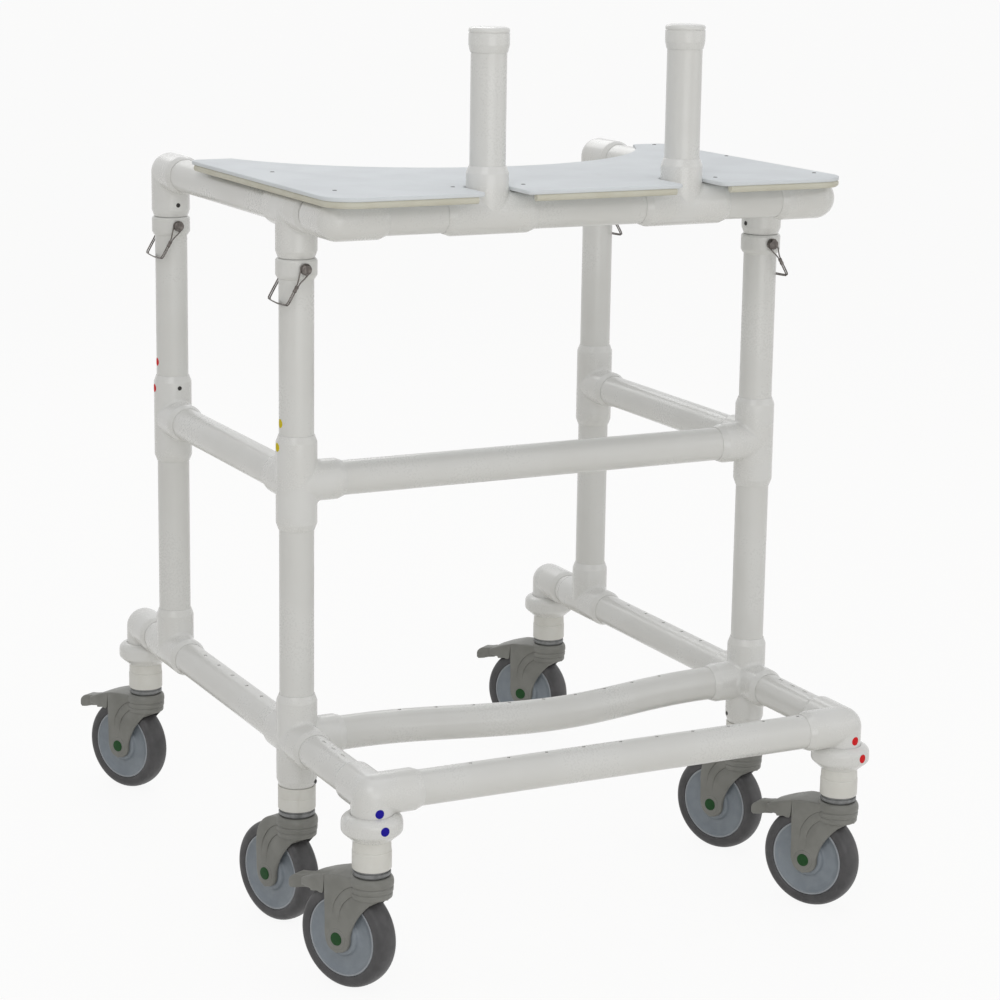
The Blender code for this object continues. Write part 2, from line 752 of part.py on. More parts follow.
def caster_socket(collared):
    """The fixed part of a caster: swivel ring, sleeve, the spigot into the frame and the stem."""
    seat = BASE_HEIGHT - (CORNER_DROP if collared else ARM_LENGTH) - CLEARANCE
    ring = CROWN_TOP + RING_GAP
    stem_end = CROWN_TOP - STEM_DEPTH
    profile = [
        (0, stem_end),
        (STEM_RADIUS, stem_end),
        (STEM_RADIUS, ring),
        (RING_RADIUS, ring),
        (RING_RADIUS, ring + RING_LENGTH),
        (SLEEVE_RADIUS, ring + RING_LENGTH),
    ]
    if collared:
        bottom = seat - COLLAR_LIP
        top = BASE_HEIGHT - FITTING_R - CLEARANCE
        inner = FITTING_R + CLEARANCE
        profile += [
            (SLEEVE_RADIUS, bottom - NECK_LENGTH),
            (NECK_RADIUS, bottom),
            (COLLAR_RADIUS, bottom + COLLAR_TAPER),
            (COLLAR_RADIUS, top - COLLAR_ROUND),
            (COLLAR_RADIUS - COLLAR_ROUND, top),
            (inner, top),
            (inner, seat),
        ]
    else:
        profile.append((SLEEVE_RADIUS, seat))
    profile += [(PIPE_R, seat), (PIPE_R, seat + SPIGOT_LENGTH), (0, seat + SPIGOT_LENGTH)]
    return turned(profile)


def fork_side(shoulder):
    """The (Y, Z) outline of the fork seen from its side, with its rear shoulder rounded off."""
    axle_y, axle_z = AXLE.yz
    rear = axle_y + FORK_REAR
    bottom = CROWN_TOP - CROWN_DEPTH
    outline = [(-FORK_FRONT, CROWN_TOP)]
    outline += bend((rear - shoulder, CROWN_TOP), (rear, CROWN_TOP), (rear, CROWN_TOP - shoulder), 3)
    outline += arc((axle_y, axle_z), FORK_FOOT, 0, -pi, 6)
    throat = (axle_y - FORK_FOOT, (axle_z + bottom) / 2)
    outline += bend((axle_y - FORK_FOOT, axle_z + FORK_TOE), throat, (-FORK_FRONT, bottom), 3)
    return outline


def caster_fork(locking):
    """The fork: a round crown, two arms that sweep back to the axle, and room for the wheel."""
    bottom = CROWN_TOP - CROWN_DEPTH
    inside = X * FORK_INNER
    outside = X * (FORK_OUTER + CUT_MARGIN)
    stem_end = Z * (CROWN_TOP - STEM_DEPTH - CLEARANCE)
    slot_y, slot_z = PEDAL_HINGE.yz
    slot_side = [
        (slot_y - PEDAL_SLOT, slot_z - CROWN_DEPTH),
        (slot_y + CROWN_RADIUS, slot_z - CROWN_DEPTH),
        (slot_y + CROWN_RADIUS, CROWN_TOP + CUT_MARGIN),
        (slot_y - PEDAL_SLOT, CROWN_TOP + CUT_MARGIN),
    ]
    tongue = PEDAL_TONGUE + PEDAL_PLAY
    cuts = [
        rod(WHEEL_RADIUS + FORK_ROOM, AXLE - inside, AXLE + inside, WHEEL_SIDES),
        rod(STEM_RADIUS + PEDAL_PLAY, stem_end, Z * (CROWN_TOP + CUT_MARGIN), PASSAGE_SIDES),
    ]
    if locking:
        hole = PEDAL_PIN_RADIUS + CLEARANCE
        cuts.append(extruded(slot_side, -tongue, tongue))
        cuts.append(rod(hole, PEDAL_HINGE - outside, PEDAL_HINGE + outside, PASSAGE_SIDES))
    side = fork_side(FORK_SHOULDER if locking else FORK_SLOPE)
    crown = rod(CROWN_RADIUS, Z * bottom, Z * CROWN_TOP)
    body = shaped([crown, extruded(side, -FORK_OUTER, FORK_OUTER)], cuts)
    end = FORK_OUTER + AXLE_CAP_LENGTH
    face = FORK_OUTER - AXLE_CAP_LENGTH / 2
    half = [(AXLE_RADIUS, face), (AXLE_CAP_RADIUS, face), (AXLE_CAP_RADIUS, end), (0, end)]
    axle = [(r, -w) for r, w in reversed(half)] + half
    return shaped([body, turned(axle, AXLE, X, PASSAGE_SIDES)])


def wheel_rim():
    """The wheel centre: hub, shallow dished web and the ring that carries the tyre."""
    hub = FORK_INNER - HUB_PLAY
    half = [
        (AXLE_RADIUS + AXLE_PLAY, hub),
        (HUB_RADIUS, hub),
        (RIM_RADIUS - RIM_RING, WEB_HALF_WIDTH),
        (RIM_RADIUS, RIM_HALF_WIDTH),
    ]
    profile = half + [(r, -w) for r, w in reversed(half)]
    return turned(profile, towards=X, sides=WHEEL_SIDES, phase=pi / WHEEL_SIDES)


def wheel_tyre():
    """The solid tyre. Its flats touch the wheel circle, so that one lies on the floor."""
    outer = WHEEL_RADIUS / cos(pi / WHEEL_SIDES)
    half = [
        (RIM_RADIUS + CLEARANCE, TYRE_HALF_WIDTH),
        (outer - TYRE_SHOULDER, TYRE_HALF_WIDTH),
        (outer, TREAD_HALF_WIDTH),
    ]
    profile = half + [(r, -w) for r, w in reversed(half)]
    return turned(profile, towards=X, sides=WHEEL_SIDES, phase=pi / WHEEL_SIDES)


def brake_pedal():
    """The brake pedal: a channel over the wheel with a tread, on a tongue hinged in the fork."""
    y, z = PEDAL_HINGE.yz
    crest = (y + PEDAL_NECK, z + PEDAL_CREST)
    brow = (y + PEDAL_BROW, z)
    lip = (y + PEDAL_REACH, z - PEDAL_SLOPE)
    hem = (y + PEDAL_REACH, z - PEDAL_SKIRT)
    skirt = bend(crest, brow, lip, 3)
    skirt += bend(hem, (y + PEDAL_NECK, z - PEDAL_SAG), (y + PEDAL_NECK, z - PEDAL_SKIRT / 2), 2)
    below = CROWN_DEPTH * 2
    wall = PEDAL_WALL
    hollow = bend(
        (crest[0] - wall, crest[1] - wall), (brow[0], brow[1] - wall), (lip[0] - wall, lip[1] - wall), 3
    )
    hollow += [(lip[0] - wall, z - below), (crest[0] - wall, z - below)]
    half = PEDAL_HALF_WIDTH
    channel = shaped(
        [extruded(skirt, -half, half)], [extruded(hollow, wall - half, half - wall)]
    )
    root = lip[0] - wall / 2
    tip = (y + TREAD_REACH, z - TREAD_FALL)
    tread = bend((root, lip[1]), (tip[0] - wall, lip[1]), tip, 2)
    tread += [(tip[0], tip[1] - TREAD_THICKNESS), (root, hem[1] - wall)]
    tongue = [
        (y - PEDAL_PIN_RADIUS * 2, z - wall / 2),
        (y + PEDAL_NECK + wall, z - wall),
        (y + PEDAL_NECK + wall, z),
        (y - PEDAL_PIN_RADIUS * 2, z + wall / 2),
    ]
    pin = X * (FORK_OUTER - PEDAL_PIN_INSET)
    solids = [
        channel,
        extruded(tongue, -PEDAL_TONGUE, PEDAL_TONGUE),
        extruded(tread, -TREAD_HALF, TREAD_HALF),
        rod(PEDAL_PIN_RADIUS, PEDAL_HINGE - pin, PEDAL_HINGE + pin, SMALL_SIDES),
    ]
    return shaped(solids)


def casters(walker, sleeve, nylon, centre, rubber):
    """Six swivel casters; the four at the corners have a brake pedal."""
    here = Vector((0, 0, 0))
    masters = {
        "caster_socket_collared": (caster_socket(True), sleeve, here, here),
        "caster_socket_plain": (caster_socket(False), sleeve, here, here),
        "caster_fork_locking": (caster_fork(True), nylon, here, here),
        "caster_fork_plain": (caster_fork(False), nylon, here, here),
        "wheel_rim": (wheel_rim(), centre, here, AXLE),
        "wheel_tyre": (wheel_tyre(), rubber, here, AXLE),
        "brake_pedal": (brake_pedal(), nylon, PEDAL_HINGE, PEDAL_HINGE),
    }

    def place(kind, name, parent):
        body, look, origin, at = masters[kind]
        if body.parent is None:
            finish(body, name, look, parent, origin)
            body.location = at
        else:
            copy_of(body, name, parent, at)

    for name, (sign, y, turn, locking) in CASTERS.items():
        at = (sign * POST_X, y, 0)
        swivel = empty(f"caster_axis_{name}", walker, at, turn)
        socket = "caster_socket_collared" if locking else "caster_socket_plain"
        fixed = empty(f"caster_seat_{name}", walker, at)
        place(socket, f"caster_socket_{name}", fixed)
        fork = "caster_fork_locking" if locking else "caster_fork_plain"
        place(fork, f"caster_fork_{name}", swivel)
        place("wheel_rim", f"wheel_rim_{name}", swivel)
        place("wheel_tyre", f"wheel_tyre_{name}", swivel)
        if locking:
            place("brake_pedal", f"brake_pedal_{name}", swivel)


def clear_scene():
    """Start from nothing."""
    for item in list(bpy.data.objects):
        bpy.data.objects.remove(item, do_unlink=True)


def main():
    """Build the whole walker."""
    clear_scene()
    pvc = material("white pvc", (0.80, 0.80, 0.77), 0.32)
    sheet = material("white sheet", (0.76, 0.78, 0.79), 0.40)
    sleeve = material("cream sleeve", (0.74, 0.72, 0.65), 0.45)
    nylon = material("grey nylon", (0.22, 0.23, 0.21), 0.50)
    centre = material("pale grey wheel", (0.30, 0.33, 0.36), 0.45)
    rubber = material("dark grey rubber", (0.06, 0.058, 0.06), 0.70)
    steel = material("wire steel", (0.42, 0.40, 0.38), 0.35, 1.0)

    walker = empty("walker", at=(FOOTPRINT_X, FOOTPRINT_Y, 0))
    base_rails(walker, pvc)
    base_fittings(walker, pvc)
    lower_posts(walker, pvc)
    mid_rails(walker, pvc)
    upper_posts(walker, pvc)
    lock_pins(walker, steel)
    casters(walker, sleeve, nylon, centre, rubber)

    table = empty("table_carrier", walker)
    table_side_rails(table, pvc)
    table_front_rail(table, pvc)
    hand_grips(table, pvc)
    table_board(table, sheet)


main()
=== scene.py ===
"""The looks of an aquatic platform walker: white pipe frame, support table, grips and six casters."""

import json
import logging
from dataclasses import dataclass
from enum import Enum
from math import atan2, cos, pi, radians, sin, sqrt
from typing import Iterable, Sequence

import bmesh
import bpy
from mathutils import Matrix, Vector

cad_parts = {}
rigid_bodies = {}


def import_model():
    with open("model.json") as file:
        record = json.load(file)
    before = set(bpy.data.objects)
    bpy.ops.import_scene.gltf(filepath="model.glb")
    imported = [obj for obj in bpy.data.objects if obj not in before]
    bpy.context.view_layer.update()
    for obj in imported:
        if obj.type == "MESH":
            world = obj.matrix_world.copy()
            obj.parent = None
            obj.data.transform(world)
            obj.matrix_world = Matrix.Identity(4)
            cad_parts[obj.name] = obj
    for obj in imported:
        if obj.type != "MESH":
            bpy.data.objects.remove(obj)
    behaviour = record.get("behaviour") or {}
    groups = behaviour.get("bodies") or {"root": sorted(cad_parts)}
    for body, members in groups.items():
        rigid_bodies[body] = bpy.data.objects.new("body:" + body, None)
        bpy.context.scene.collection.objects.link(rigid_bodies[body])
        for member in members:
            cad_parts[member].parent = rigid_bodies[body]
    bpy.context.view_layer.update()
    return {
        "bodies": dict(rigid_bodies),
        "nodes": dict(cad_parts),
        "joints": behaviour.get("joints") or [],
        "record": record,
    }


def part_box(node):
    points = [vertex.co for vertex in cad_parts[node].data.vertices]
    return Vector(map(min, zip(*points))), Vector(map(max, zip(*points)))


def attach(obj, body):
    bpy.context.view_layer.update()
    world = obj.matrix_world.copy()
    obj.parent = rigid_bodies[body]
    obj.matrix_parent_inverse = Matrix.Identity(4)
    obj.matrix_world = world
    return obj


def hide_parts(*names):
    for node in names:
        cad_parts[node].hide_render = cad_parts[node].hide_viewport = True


LOG = logging.getLogger("walker")
X, Y, Z = Vector((1, 0, 0)), Vector((0, 1, 0)), Vector((0, 0, 1))
MM = 0.001
TABLE_OVER_MID = 328 * MM
SAME_PLACE = 1e-7
WELD = 1e-6
SQUARE = 0.01

Point = tuple[float, float]
Triple = tuple[float, float, float]
Colour = Triple


class Side(Enum):
    """The walker's two sides, as the sign of X."""

    LEFT = -1
    RIGHT = 1

    @property
    def word(self) -> str:
        """The side's name in lower case, as node names spell it."""
        return self.name.lower()

    @property
    def inward(self) -> Vector:
        """The direction from this side to the middle."""
        return X * -self.value


class Upright(Enum):
    """Which upright of a side: one of its posts, or the front corner's leg."""

    FRONT = "front"
    REAR = "rear"
    CORNER = "corner"


# Curves


def in_mm(points: Iterable[Point]) -> list[Point]:
    """Points that are given in millimetres, in metres."""
    return [(x * MM, y * MM) for x, y in points]


def arc(centre: Point, radius: float, start: float, end: float, steps: int) -> list[Point]:
    """Points along a circular arc.

    Args:
        centre: The arc's centre.
        radius: Its radius.
        start: The first angle in radians.
        end: The last angle in radians.
        steps: How many chords the arc has.

    Returns:
        The points, ends included.
    """
    angles = [start + (end - start) * i / steps for i in range(steps + 1)]
    return [(centre[0] + radius * cos(a), centre[1] + radius * sin(a)) for a in angles]


def smooth(points: Sequence[Sequence[float]], steps: int) -> list[tuple[float, ...]]:
    """A curve through every given point.

    Args:
        points: The points that the curve passes, of any dimension.
        steps: How many chords lie between two of them.

    Returns:
        The curve's points, ends included.
    """
    padded = [points[0], *points, points[-1]]
    curve = []
    for before, start, end, after in zip(padded, padded[1:], padded[2:], padded[3:]):
        for i in range(steps):
            t = i / steps
            weights = (
                -0.5 * t + t**2 - 0.5 * t**3,
                1 - 2.5 * t**2 + 1.5 * t**3,
                0.5 * t + 2 * t**2 - 1.5 * t**3,
                -0.5 * t**2 + 0.5 * t**3,
            )
            corners = (before, start, end, after)
            curve.append(tuple(sum(w * p[k] for w, p in zip(weights, corners)) for k in range(len(start))))
    curve.append(tuple(points[-1]))
    return curve


def eased(outline: Sequence[Point], radius: float, steps: int = 3, closed: bool = False) -> list[Point]:
    """An outline with its corners rounded.

    Args:
        outline: The corners.
        radius: How far from a corner its rounding starts.
        steps: How many chords each rounding has.
        closed: Whether the last point joins the first.

    Returns:
        The rounded outline.
    """
    points = [Vector(p) for p in outline]
    rounded: list[Point] = [] if closed else [tuple(points[0])]
    indices = range(len(points)) if closed else range(1, len(points) - 1)
    for i in indices:
        before, corner, after = points[i - 1], points[i], points[(i + 1) % len(points)]
        reach = min(radius, (before - corner).length / 2.2, (after - corner).length / 2.2)
        start = corner + (before - corner).normalized() * reach
        end = corner + (after - corner).normalized() * reach
        for k in range(steps + 1):
            t = k / steps
            rounded.append(tuple(start * (1 - t) ** 2 + corner * 2 * t * (1 - t) + end * t**2))
    if not closed:
        rounded.append(tuple(points[-1]))
    return rounded


def facing(at: Vector, towards: Vector) -> Matrix:
    """The placement that puts local Z along a direction."""
    return Matrix.Translation(at) @ Vector(towards).to_track_quat("Z", "Y").to_matrix().to_4x4()


# Meshes


class Mould:
    """Collects the surfaces of one piece and makes its mesh."""

    def __init__(self) -> None:
        """Start with nothing in the mould."""
        self.bm = bmesh.new()

    def grid(self, rows: Sequence[Sequence[Vector]], ring: bool = False) -> None:
        """Skin rows of points.

        Args:
            rows: Rows of equally many points.
            ring: Whether each row closes on itself.
        """
        verts = []
        for row in rows:
            if ring and all((p - row[0]).length < SAME_PLACE for p in row):
                verts.append([self.bm.verts.new(row[0])] * len(row))
            else:
                verts.append([self.bm.verts.new(p) for p in row])
        count = len(rows[0])
        for low, high in zip(verts, verts[1:]):
            for j in range(count if ring else count - 1):
                k = (j + 1) % count
                corners = list(dict.fromkeys((low[j], low[k], high[k], high[j])))
                if len(corners) > 2:
                    self.bm.faces.new(corners)

    def turned(self, outline: Sequence[Point], at: Vector, towards: Vector, sides: int) -> None:
        """Turn an outline round an axis.

        Args:
            outline: Its (radius, height) points, with the outer wall going up.
            at: Where the height is zero.
            towards: The direction of the axis.
            sides: How many sides the shape has.
        """
        stand = facing(at, towards)
        angles = [2 * pi * j / sides for j in range(sides)]
        rows = [[stand @ Vector((r * cos(a), r * sin(a), h)) for a in angles] for r, h in outline]
        self.grid(rows, ring=True)

    def rod(self, at: Vector, towards: Vector, radius: float, ends: Point, sides: int) -> None:
        """A plain round bar with flat ends.

        Args:
            at: Where the height is zero.
            towards: The direction of its axis.
            radius: Its radius.
            ends: The heights of its two ends.
            sides: How many sides it has.
        """
        low, high = ends
        self.turned([(0, low), (radius, low), (radius, high), (0, high)], at, towards, sides)

    def swept(self, path: Sequence[Vector], radius: float, sides: int) -> None:
        """A round bar along a path, with closed ends.

        Args:
            path: The bar's centre line.
            radius: Its radius.
            sides: How many sides it has.
        """
        points = [Vector(p) for p in path]
        last = len(points) - 1
        tangents = [(points[min(i + 1, last)] - points[max(i - 1, 0)]).normalized() for i in range(last + 1)]
        across = tangents[0].orthogonal().normalized()
        rows = [[points[0]] * sides]
        turns = [2 * pi * j / sides for j in range(sides)]
        for i, (point, tangent) in enumerate(zip(points, tangents)):
            if i:
                across = tangents[i - 1].rotation_difference(tangent) @ across
            across = (across - tangent * across.dot(tangent)).normalized()
            other = tangent.cross(across)
            rows.append([point + (across * cos(a) + other * sin(a)) * radius for a in turns])
        rows.append([points[-1]] * sides)
        self.grid(rows, ring=True)

    def crotch(self, centre: Vector, first: Vector, second: Vector, radius: float, fillet: float) -> None:
        """The rounded inner corner between two arms at a right angle, as a ball rolls along them.

        Args:
            centre: Where the arms' axes cross.
            first: The direction of one arm.
            second: The direction of the other arm.
            radius: The arms' radius.
            fillet: The radius of the rolling ball.
        """
        side = first.cross(second)
        share = radius / (radius + fillet)
        steps, chords, limit = 24, 6, 88
        rows = []
        for i in range(steps + 1):
            turn = radians(-limit + 2 * limit * i / steps)
            along = (radius + fillet) * cos(turn)
            off = side * (radius + fillet) * sin(turn)
            ball = first * along + second * along + off
            low = first * along + (second * along + off) * share
            high = second * along + (first * along + off) * share
            row = []
            for k in range(chords + 1):
                chord = low.lerp(high, k / chords) - ball
                row.append(centre + ball + chord.normalized() * fillet)
            rows.append(row)
        self.grid(rows)

    def slab(self, outline: Sequence[Point], low: float, high: float, edge: float, stand: Matrix) -> None:
        """A flat piece with rounded edges.

        Args:
            outline: Its outline in the plane of local X and Y.
            low: Its lowest height along local Z.
            high: Its highest height.
            edge: The radius of its edges.
            stand: Where the local frame lies.
        """
        bm = bmesh.new()
        face = bm.faces.new([bm.verts.new((x, y, low)) for x, y in outline])
        moved = bmesh.ops.extrude_face_region(bm, geom=[face])["geom"]
        top = [part for part in moved if isinstance(part, bmesh.types.BMVert)]
        bmesh.ops.translate(bm, vec=(0, 0, high - low), verts=top)
        bmesh.ops.recalc_face_normals(bm, faces=bm.faces)
        rims = [e for e in bm.edges if abs(e.verts[0].co.z - e.verts[1].co.z) < SAME_PLACE]
        bmesh.ops.bevel(bm, geom=rims, offset=edge, segments=3, profile=0.5, affect="EDGES")
        bmesh.ops.transform(bm, matrix=stand, verts=bm.verts)
        solid = Mould()
        solid.bm.free()
        solid.bm = bm
        self.joined(solid)

    def joined(self, other: "Mould") -> None:
        """Take over another mould's surfaces.

        Args:
            other: The other mould, which is used up.
        """
        spare = bpy.data.meshes.new("spare")
        other.bm.to_mesh(spare)
        other.bm.free()
        self.bm.from_mesh(spare)
        bpy.data.meshes.remove(spare)

    def closed_tube(self, rings: Sequence[Sequence[Vector]]) -> None:
        """A closed surface with flat ends.

        Args:
            rings: The rings that it passes, of equally many points.
        """
        tube = Mould()
        tube.grid(rings, ring=True)
        count = len(rings[0])
        tube.bm.verts.ensure_lookup_table()
        tube.bm.faces.new(tube.bm.verts[:count])
        tube.bm.faces.new(tube.bm.verts[-count:])
        bmesh.ops.recalc_face_normals(tube.bm, faces=tube.bm.faces)
        self.joined(tube)

    def drilled(self, drills: "Mould") -> None:
        """Cut closed shapes out of this mould.

        Args:
            drills: A mould of the shapes, which is used up.
        """
        blanks = []
        for mould in (self, drills):
            bmesh.ops.remove_doubles(mould.bm, verts=mould.bm.verts, dist=WELD)
            mesh = bpy.data.meshes.new("blank")
            mould.bm.to_mesh(mesh)
            blanks.append(bpy.data.objects.new("blank", mesh))
            bpy.context.scene.collection.objects.link(blanks[-1])
        drills.bm.free()
        step = blanks[0].modifiers.new("Drill", "BOOLEAN")
        step.operation = "DIFFERENCE"
        step.object = blanks[1]
        step.solver = "EXACT"
        graph = bpy.context.evaluated_depsgraph_get()
        cut = bpy.data.meshes.new_from_object(blanks[0].evaluated_get(graph))
        self.bm.clear()
        self.bm.from_mesh(cut)
        for mesh in (cut, blanks[0].data, blanks[1].data):
            bpy.data.meshes.remove(mesh)

    def mesh(self, name: str, sharp: float = 32.0) -> bpy.types.Mesh:
        """Close the mould.

        Args:
            name: The mesh's name.
            sharp: The angle in degrees from which an edge stays crisp.

        Returns:
            The mesh, shaded smooth.
        """
        made = bpy.data.meshes.new(name)
        self.bm.to_mesh(made)
        self.bm.free()
        made.shade_smooth()
        made.set_sharp_from_angle(angle=radians(sharp))
        return made


# Materials


class Reading:
    """A value that varies over a surface. Arithmetic on it adds Math nodes."""

    def __init__(self, tree: bpy.types.NodeTree, socket: bpy.types.NodeSocket) -> None:
        """Wrap an output socket of a material's tree."""
        self.tree = tree
        self.socket = socket

    def _worked(self, operation: str, first: object, second: object) -> "Reading":
        """Add a Math node.

        Args:
            operation: What it works out.
            first: Its first value, a number or a reading.
            second: Its second value.

        Returns:
            The result.
        """
        node = self.tree.nodes.new("ShaderNodeMath")
        node.operation = operation
        for socket, value in zip(node.inputs, (first, second)):
            if isinstance(value, Reading):
                self.tree.links.new(value.socket, socket)
            else:
                socket.default_value = value
        return Reading(self.tree, node.outputs[0])

    def __add__(self, other: object) -> "Reading":
        """This value plus another."""
        return self._worked("ADD", self, other)

    __radd__ = __add__

    def __sub__(self, other: object) -> "Reading":
        """This value less another."""
        return self._worked("SUBTRACT", self, other)

    def __rsub__(self, other: object) -> "Reading":
        """A number less this value."""
        return self._worked("SUBTRACT", other, self)

    def __mul__(self, other: object) -> "Reading":
        """This value times another."""
        return self._worked("MULTIPLY", self, other)

    __rmul__ = __mul__


class Palette:
    """Builds the node tree of one material, or of the world."""

    def __init__(self, holder: bpy.types.Material | bpy.types.World) -> None:
        """Start on the nodes that a new material or world has.

        Args:
            holder: The material or world.
        """
        holder.use_nodes = True
        self.holder = holder
        self.tree = holder.node_tree

    def node(self, kind: str, settings: dict[str, object], values: dict[str | int, object]) -> bpy.types.Node:
        """Add a node.

        Args:
            kind: Its type.
            settings: Its properties, set first.
            values: Its inputs by name or number, each a number, colour, socket or reading.

        Returns:
            The node.
        """
        made = self.tree.nodes.new(kind)
        for key, value in settings.items():
            setattr(made, key, value)
        for key, value in values.items():
            self.feed(made.inputs[key], value)
        return made

    def feed(self, socket: bpy.types.NodeSocket, value: object) -> None:
        """Set or link a socket.

        Args:
            socket: The socket.
            value: A number, a colour, another socket or a reading.
        """
        if isinstance(value, Reading):
            self.tree.links.new(value.socket, socket)
        elif isinstance(value, bpy.types.NodeSocket):
            self.tree.links.new(value, socket)
        elif isinstance(value, tuple) and len(value) == 3 and socket.type == "RGBA":
            socket.default_value = (*value, 1.0)
        else:
            socket.default_value = value

    def noise(self, size: float, detail: float = 2.0, stretch: Triple = (1.0, 1.0, 1.0)) -> Reading:
        """Cloudy noise in the piece's own space.

        Args:
            size: The size of its patches in metres.
            detail: How many finer layers it has.
            stretch: How the space is scaled along X, Y and Z first.

        Returns:
            The noise, about a half on average.
        """
        space = self.node("ShaderNodeTexCoord", {}, {}).outputs["Object"]
        mapped = self.node("ShaderNodeMapping", {}, {"Vector": space, "Scale": stretch})
        values = {"Vector": mapped.outputs[0], "Scale": 1.0 / size, "Detail": detail}
        noise = self.node("ShaderNodeTexNoise", {}, values)
        return Reading(self.tree, noise.outputs[0])

    def seen(self) -> Reading:
        """Tell what the camera sees from other light.

        Returns:
            One for what the camera sees, also in a mirror or through glass, and nothing elsewhere.
        """
        rays = self.node("ShaderNodeLightPath", {}, {})
        camera, glossy, through = (
            Reading(self.tree, rays.outputs[f"Is {kind} Ray"]) for kind in ("Camera", "Glossy", "Transmission")
        )
        return camera + glossy + through

    def shown(self, share: Reading, first: bpy.types.NodeSocket, second: bpy.types.NodeSocket, end: str) -> None:
        """Blend two shaders by a share and send them to the tree's end node."""
        mix = self.node("ShaderNodeMixShader", {}, {0: share, 1: first, 2: second})
        self.feed(self.tree.nodes[end].inputs["Surface"], mix.outputs[0])

    def ramp(self, value: Reading, low: float, high: float) -> Reading:
        """A value made to rise smoothly from nothing to one.

        Args:
            value: The value.
            low: The level at which the result is nothing.
            high: The level at which it is one.

        Returns:
            The result.
        """
        values = {"Value": value, "From Min": low, "From Max": high}
        node = self.node("ShaderNodeMapRange", {"interpolation_type": "SMOOTHSTEP"}, values)
        return Reading(self.tree, node.outputs[0])

    def mixed(self, share: Reading, first: object, second: object) -> bpy.types.NodeSocket:
        """Blend two colours by a share."""
        node = self.node("ShaderNodeMix", {"data_type": "RGBA"}, {0: share, 6: first, 7: second})
        return node.outputs[2]

    def raised(self, height: Reading, depth: float) -> bpy.types.NodeSocket:
        """The normal of a surface raised by a height that varies, in metres."""
        node = self.node("ShaderNodeBump", {}, {"Height": height, "Distance": depth, "Strength": 1.0})
        return node.outputs[0]


@dataclass(frozen=True)
class Finish:
    """A finish: two close colours in soft patches, a grain, and rubbed marks."""

    name: str
    slot: str
    colour: Colour
    shade: Colour
    roughness: float
    patch: float = 60 * MM
    grain: float = 1.2 * MM
    depth: float = 0.02 * MM
    rubbed: Colour | None = None
    rubbed_size: float = 9 * MM
    rubbed_share: float = 0.62
    metallic: float = 0.0
    coat: float = 0.0
    specular: float = 0.5
    layers: float = 3.0
    clouded: Point = (0.34, 0.68)
    grain_sheen: float = 0.10
    cloud_sheen: float = 0.05
    rubbed_layers: float = 6.0
    rubbed_stretch: Triple = (1.0, 0.35, 0.25)
    rubbed_edge: float = 0.12
    rubbed_depth: float = 0.4
    rubbed_sheen: float = 0.08
    coat_roughness: float = 0.12

    def material(self) -> bpy.types.Material:
        """Build the finish's material.

        Returns:
            The material.
        """
        palette = Palette(bpy.data.materials.new(self.name))
        shader = palette.tree.nodes["Principled BSDF"]
        clouds = palette.ramp(palette.noise(self.patch, self.layers), *self.clouded)
        colour = palette.mixed(clouds, self.colour, self.shade)
        grain = palette.noise(self.grain, self.layers)
        rough = self.roughness + (grain - 0.5) * self.grain_sheen + (clouds - 0.5) * self.cloud_sheen
        if self.rubbed is not None:
            marks = palette.noise(self.rubbed_size, self.rubbed_layers, self.rubbed_stretch)
            rubbed = palette.ramp(marks, self.rubbed_share, self.rubbed_share + self.rubbed_edge)
            colour = palette.mixed(rubbed * self.rubbed_depth, colour, self.rubbed)
            rough = rough + rubbed * self.rubbed_sheen
        palette.feed(shader.inputs["Base Color"], colour)
        palette.feed(shader.inputs["Roughness"], rough)
        palette.feed(shader.inputs["Normal"], palette.raised(grain, self.depth))
        palette.feed(shader.inputs["Metallic"], self.metallic)
        palette.feed(shader.inputs["Coat Weight"], self.coat)
        palette.feed(shader.inputs["Coat Roughness"], self.coat_roughness)
        palette.feed(shader.inputs["Specular IOR Level"], self.specular)
        return palette.holder


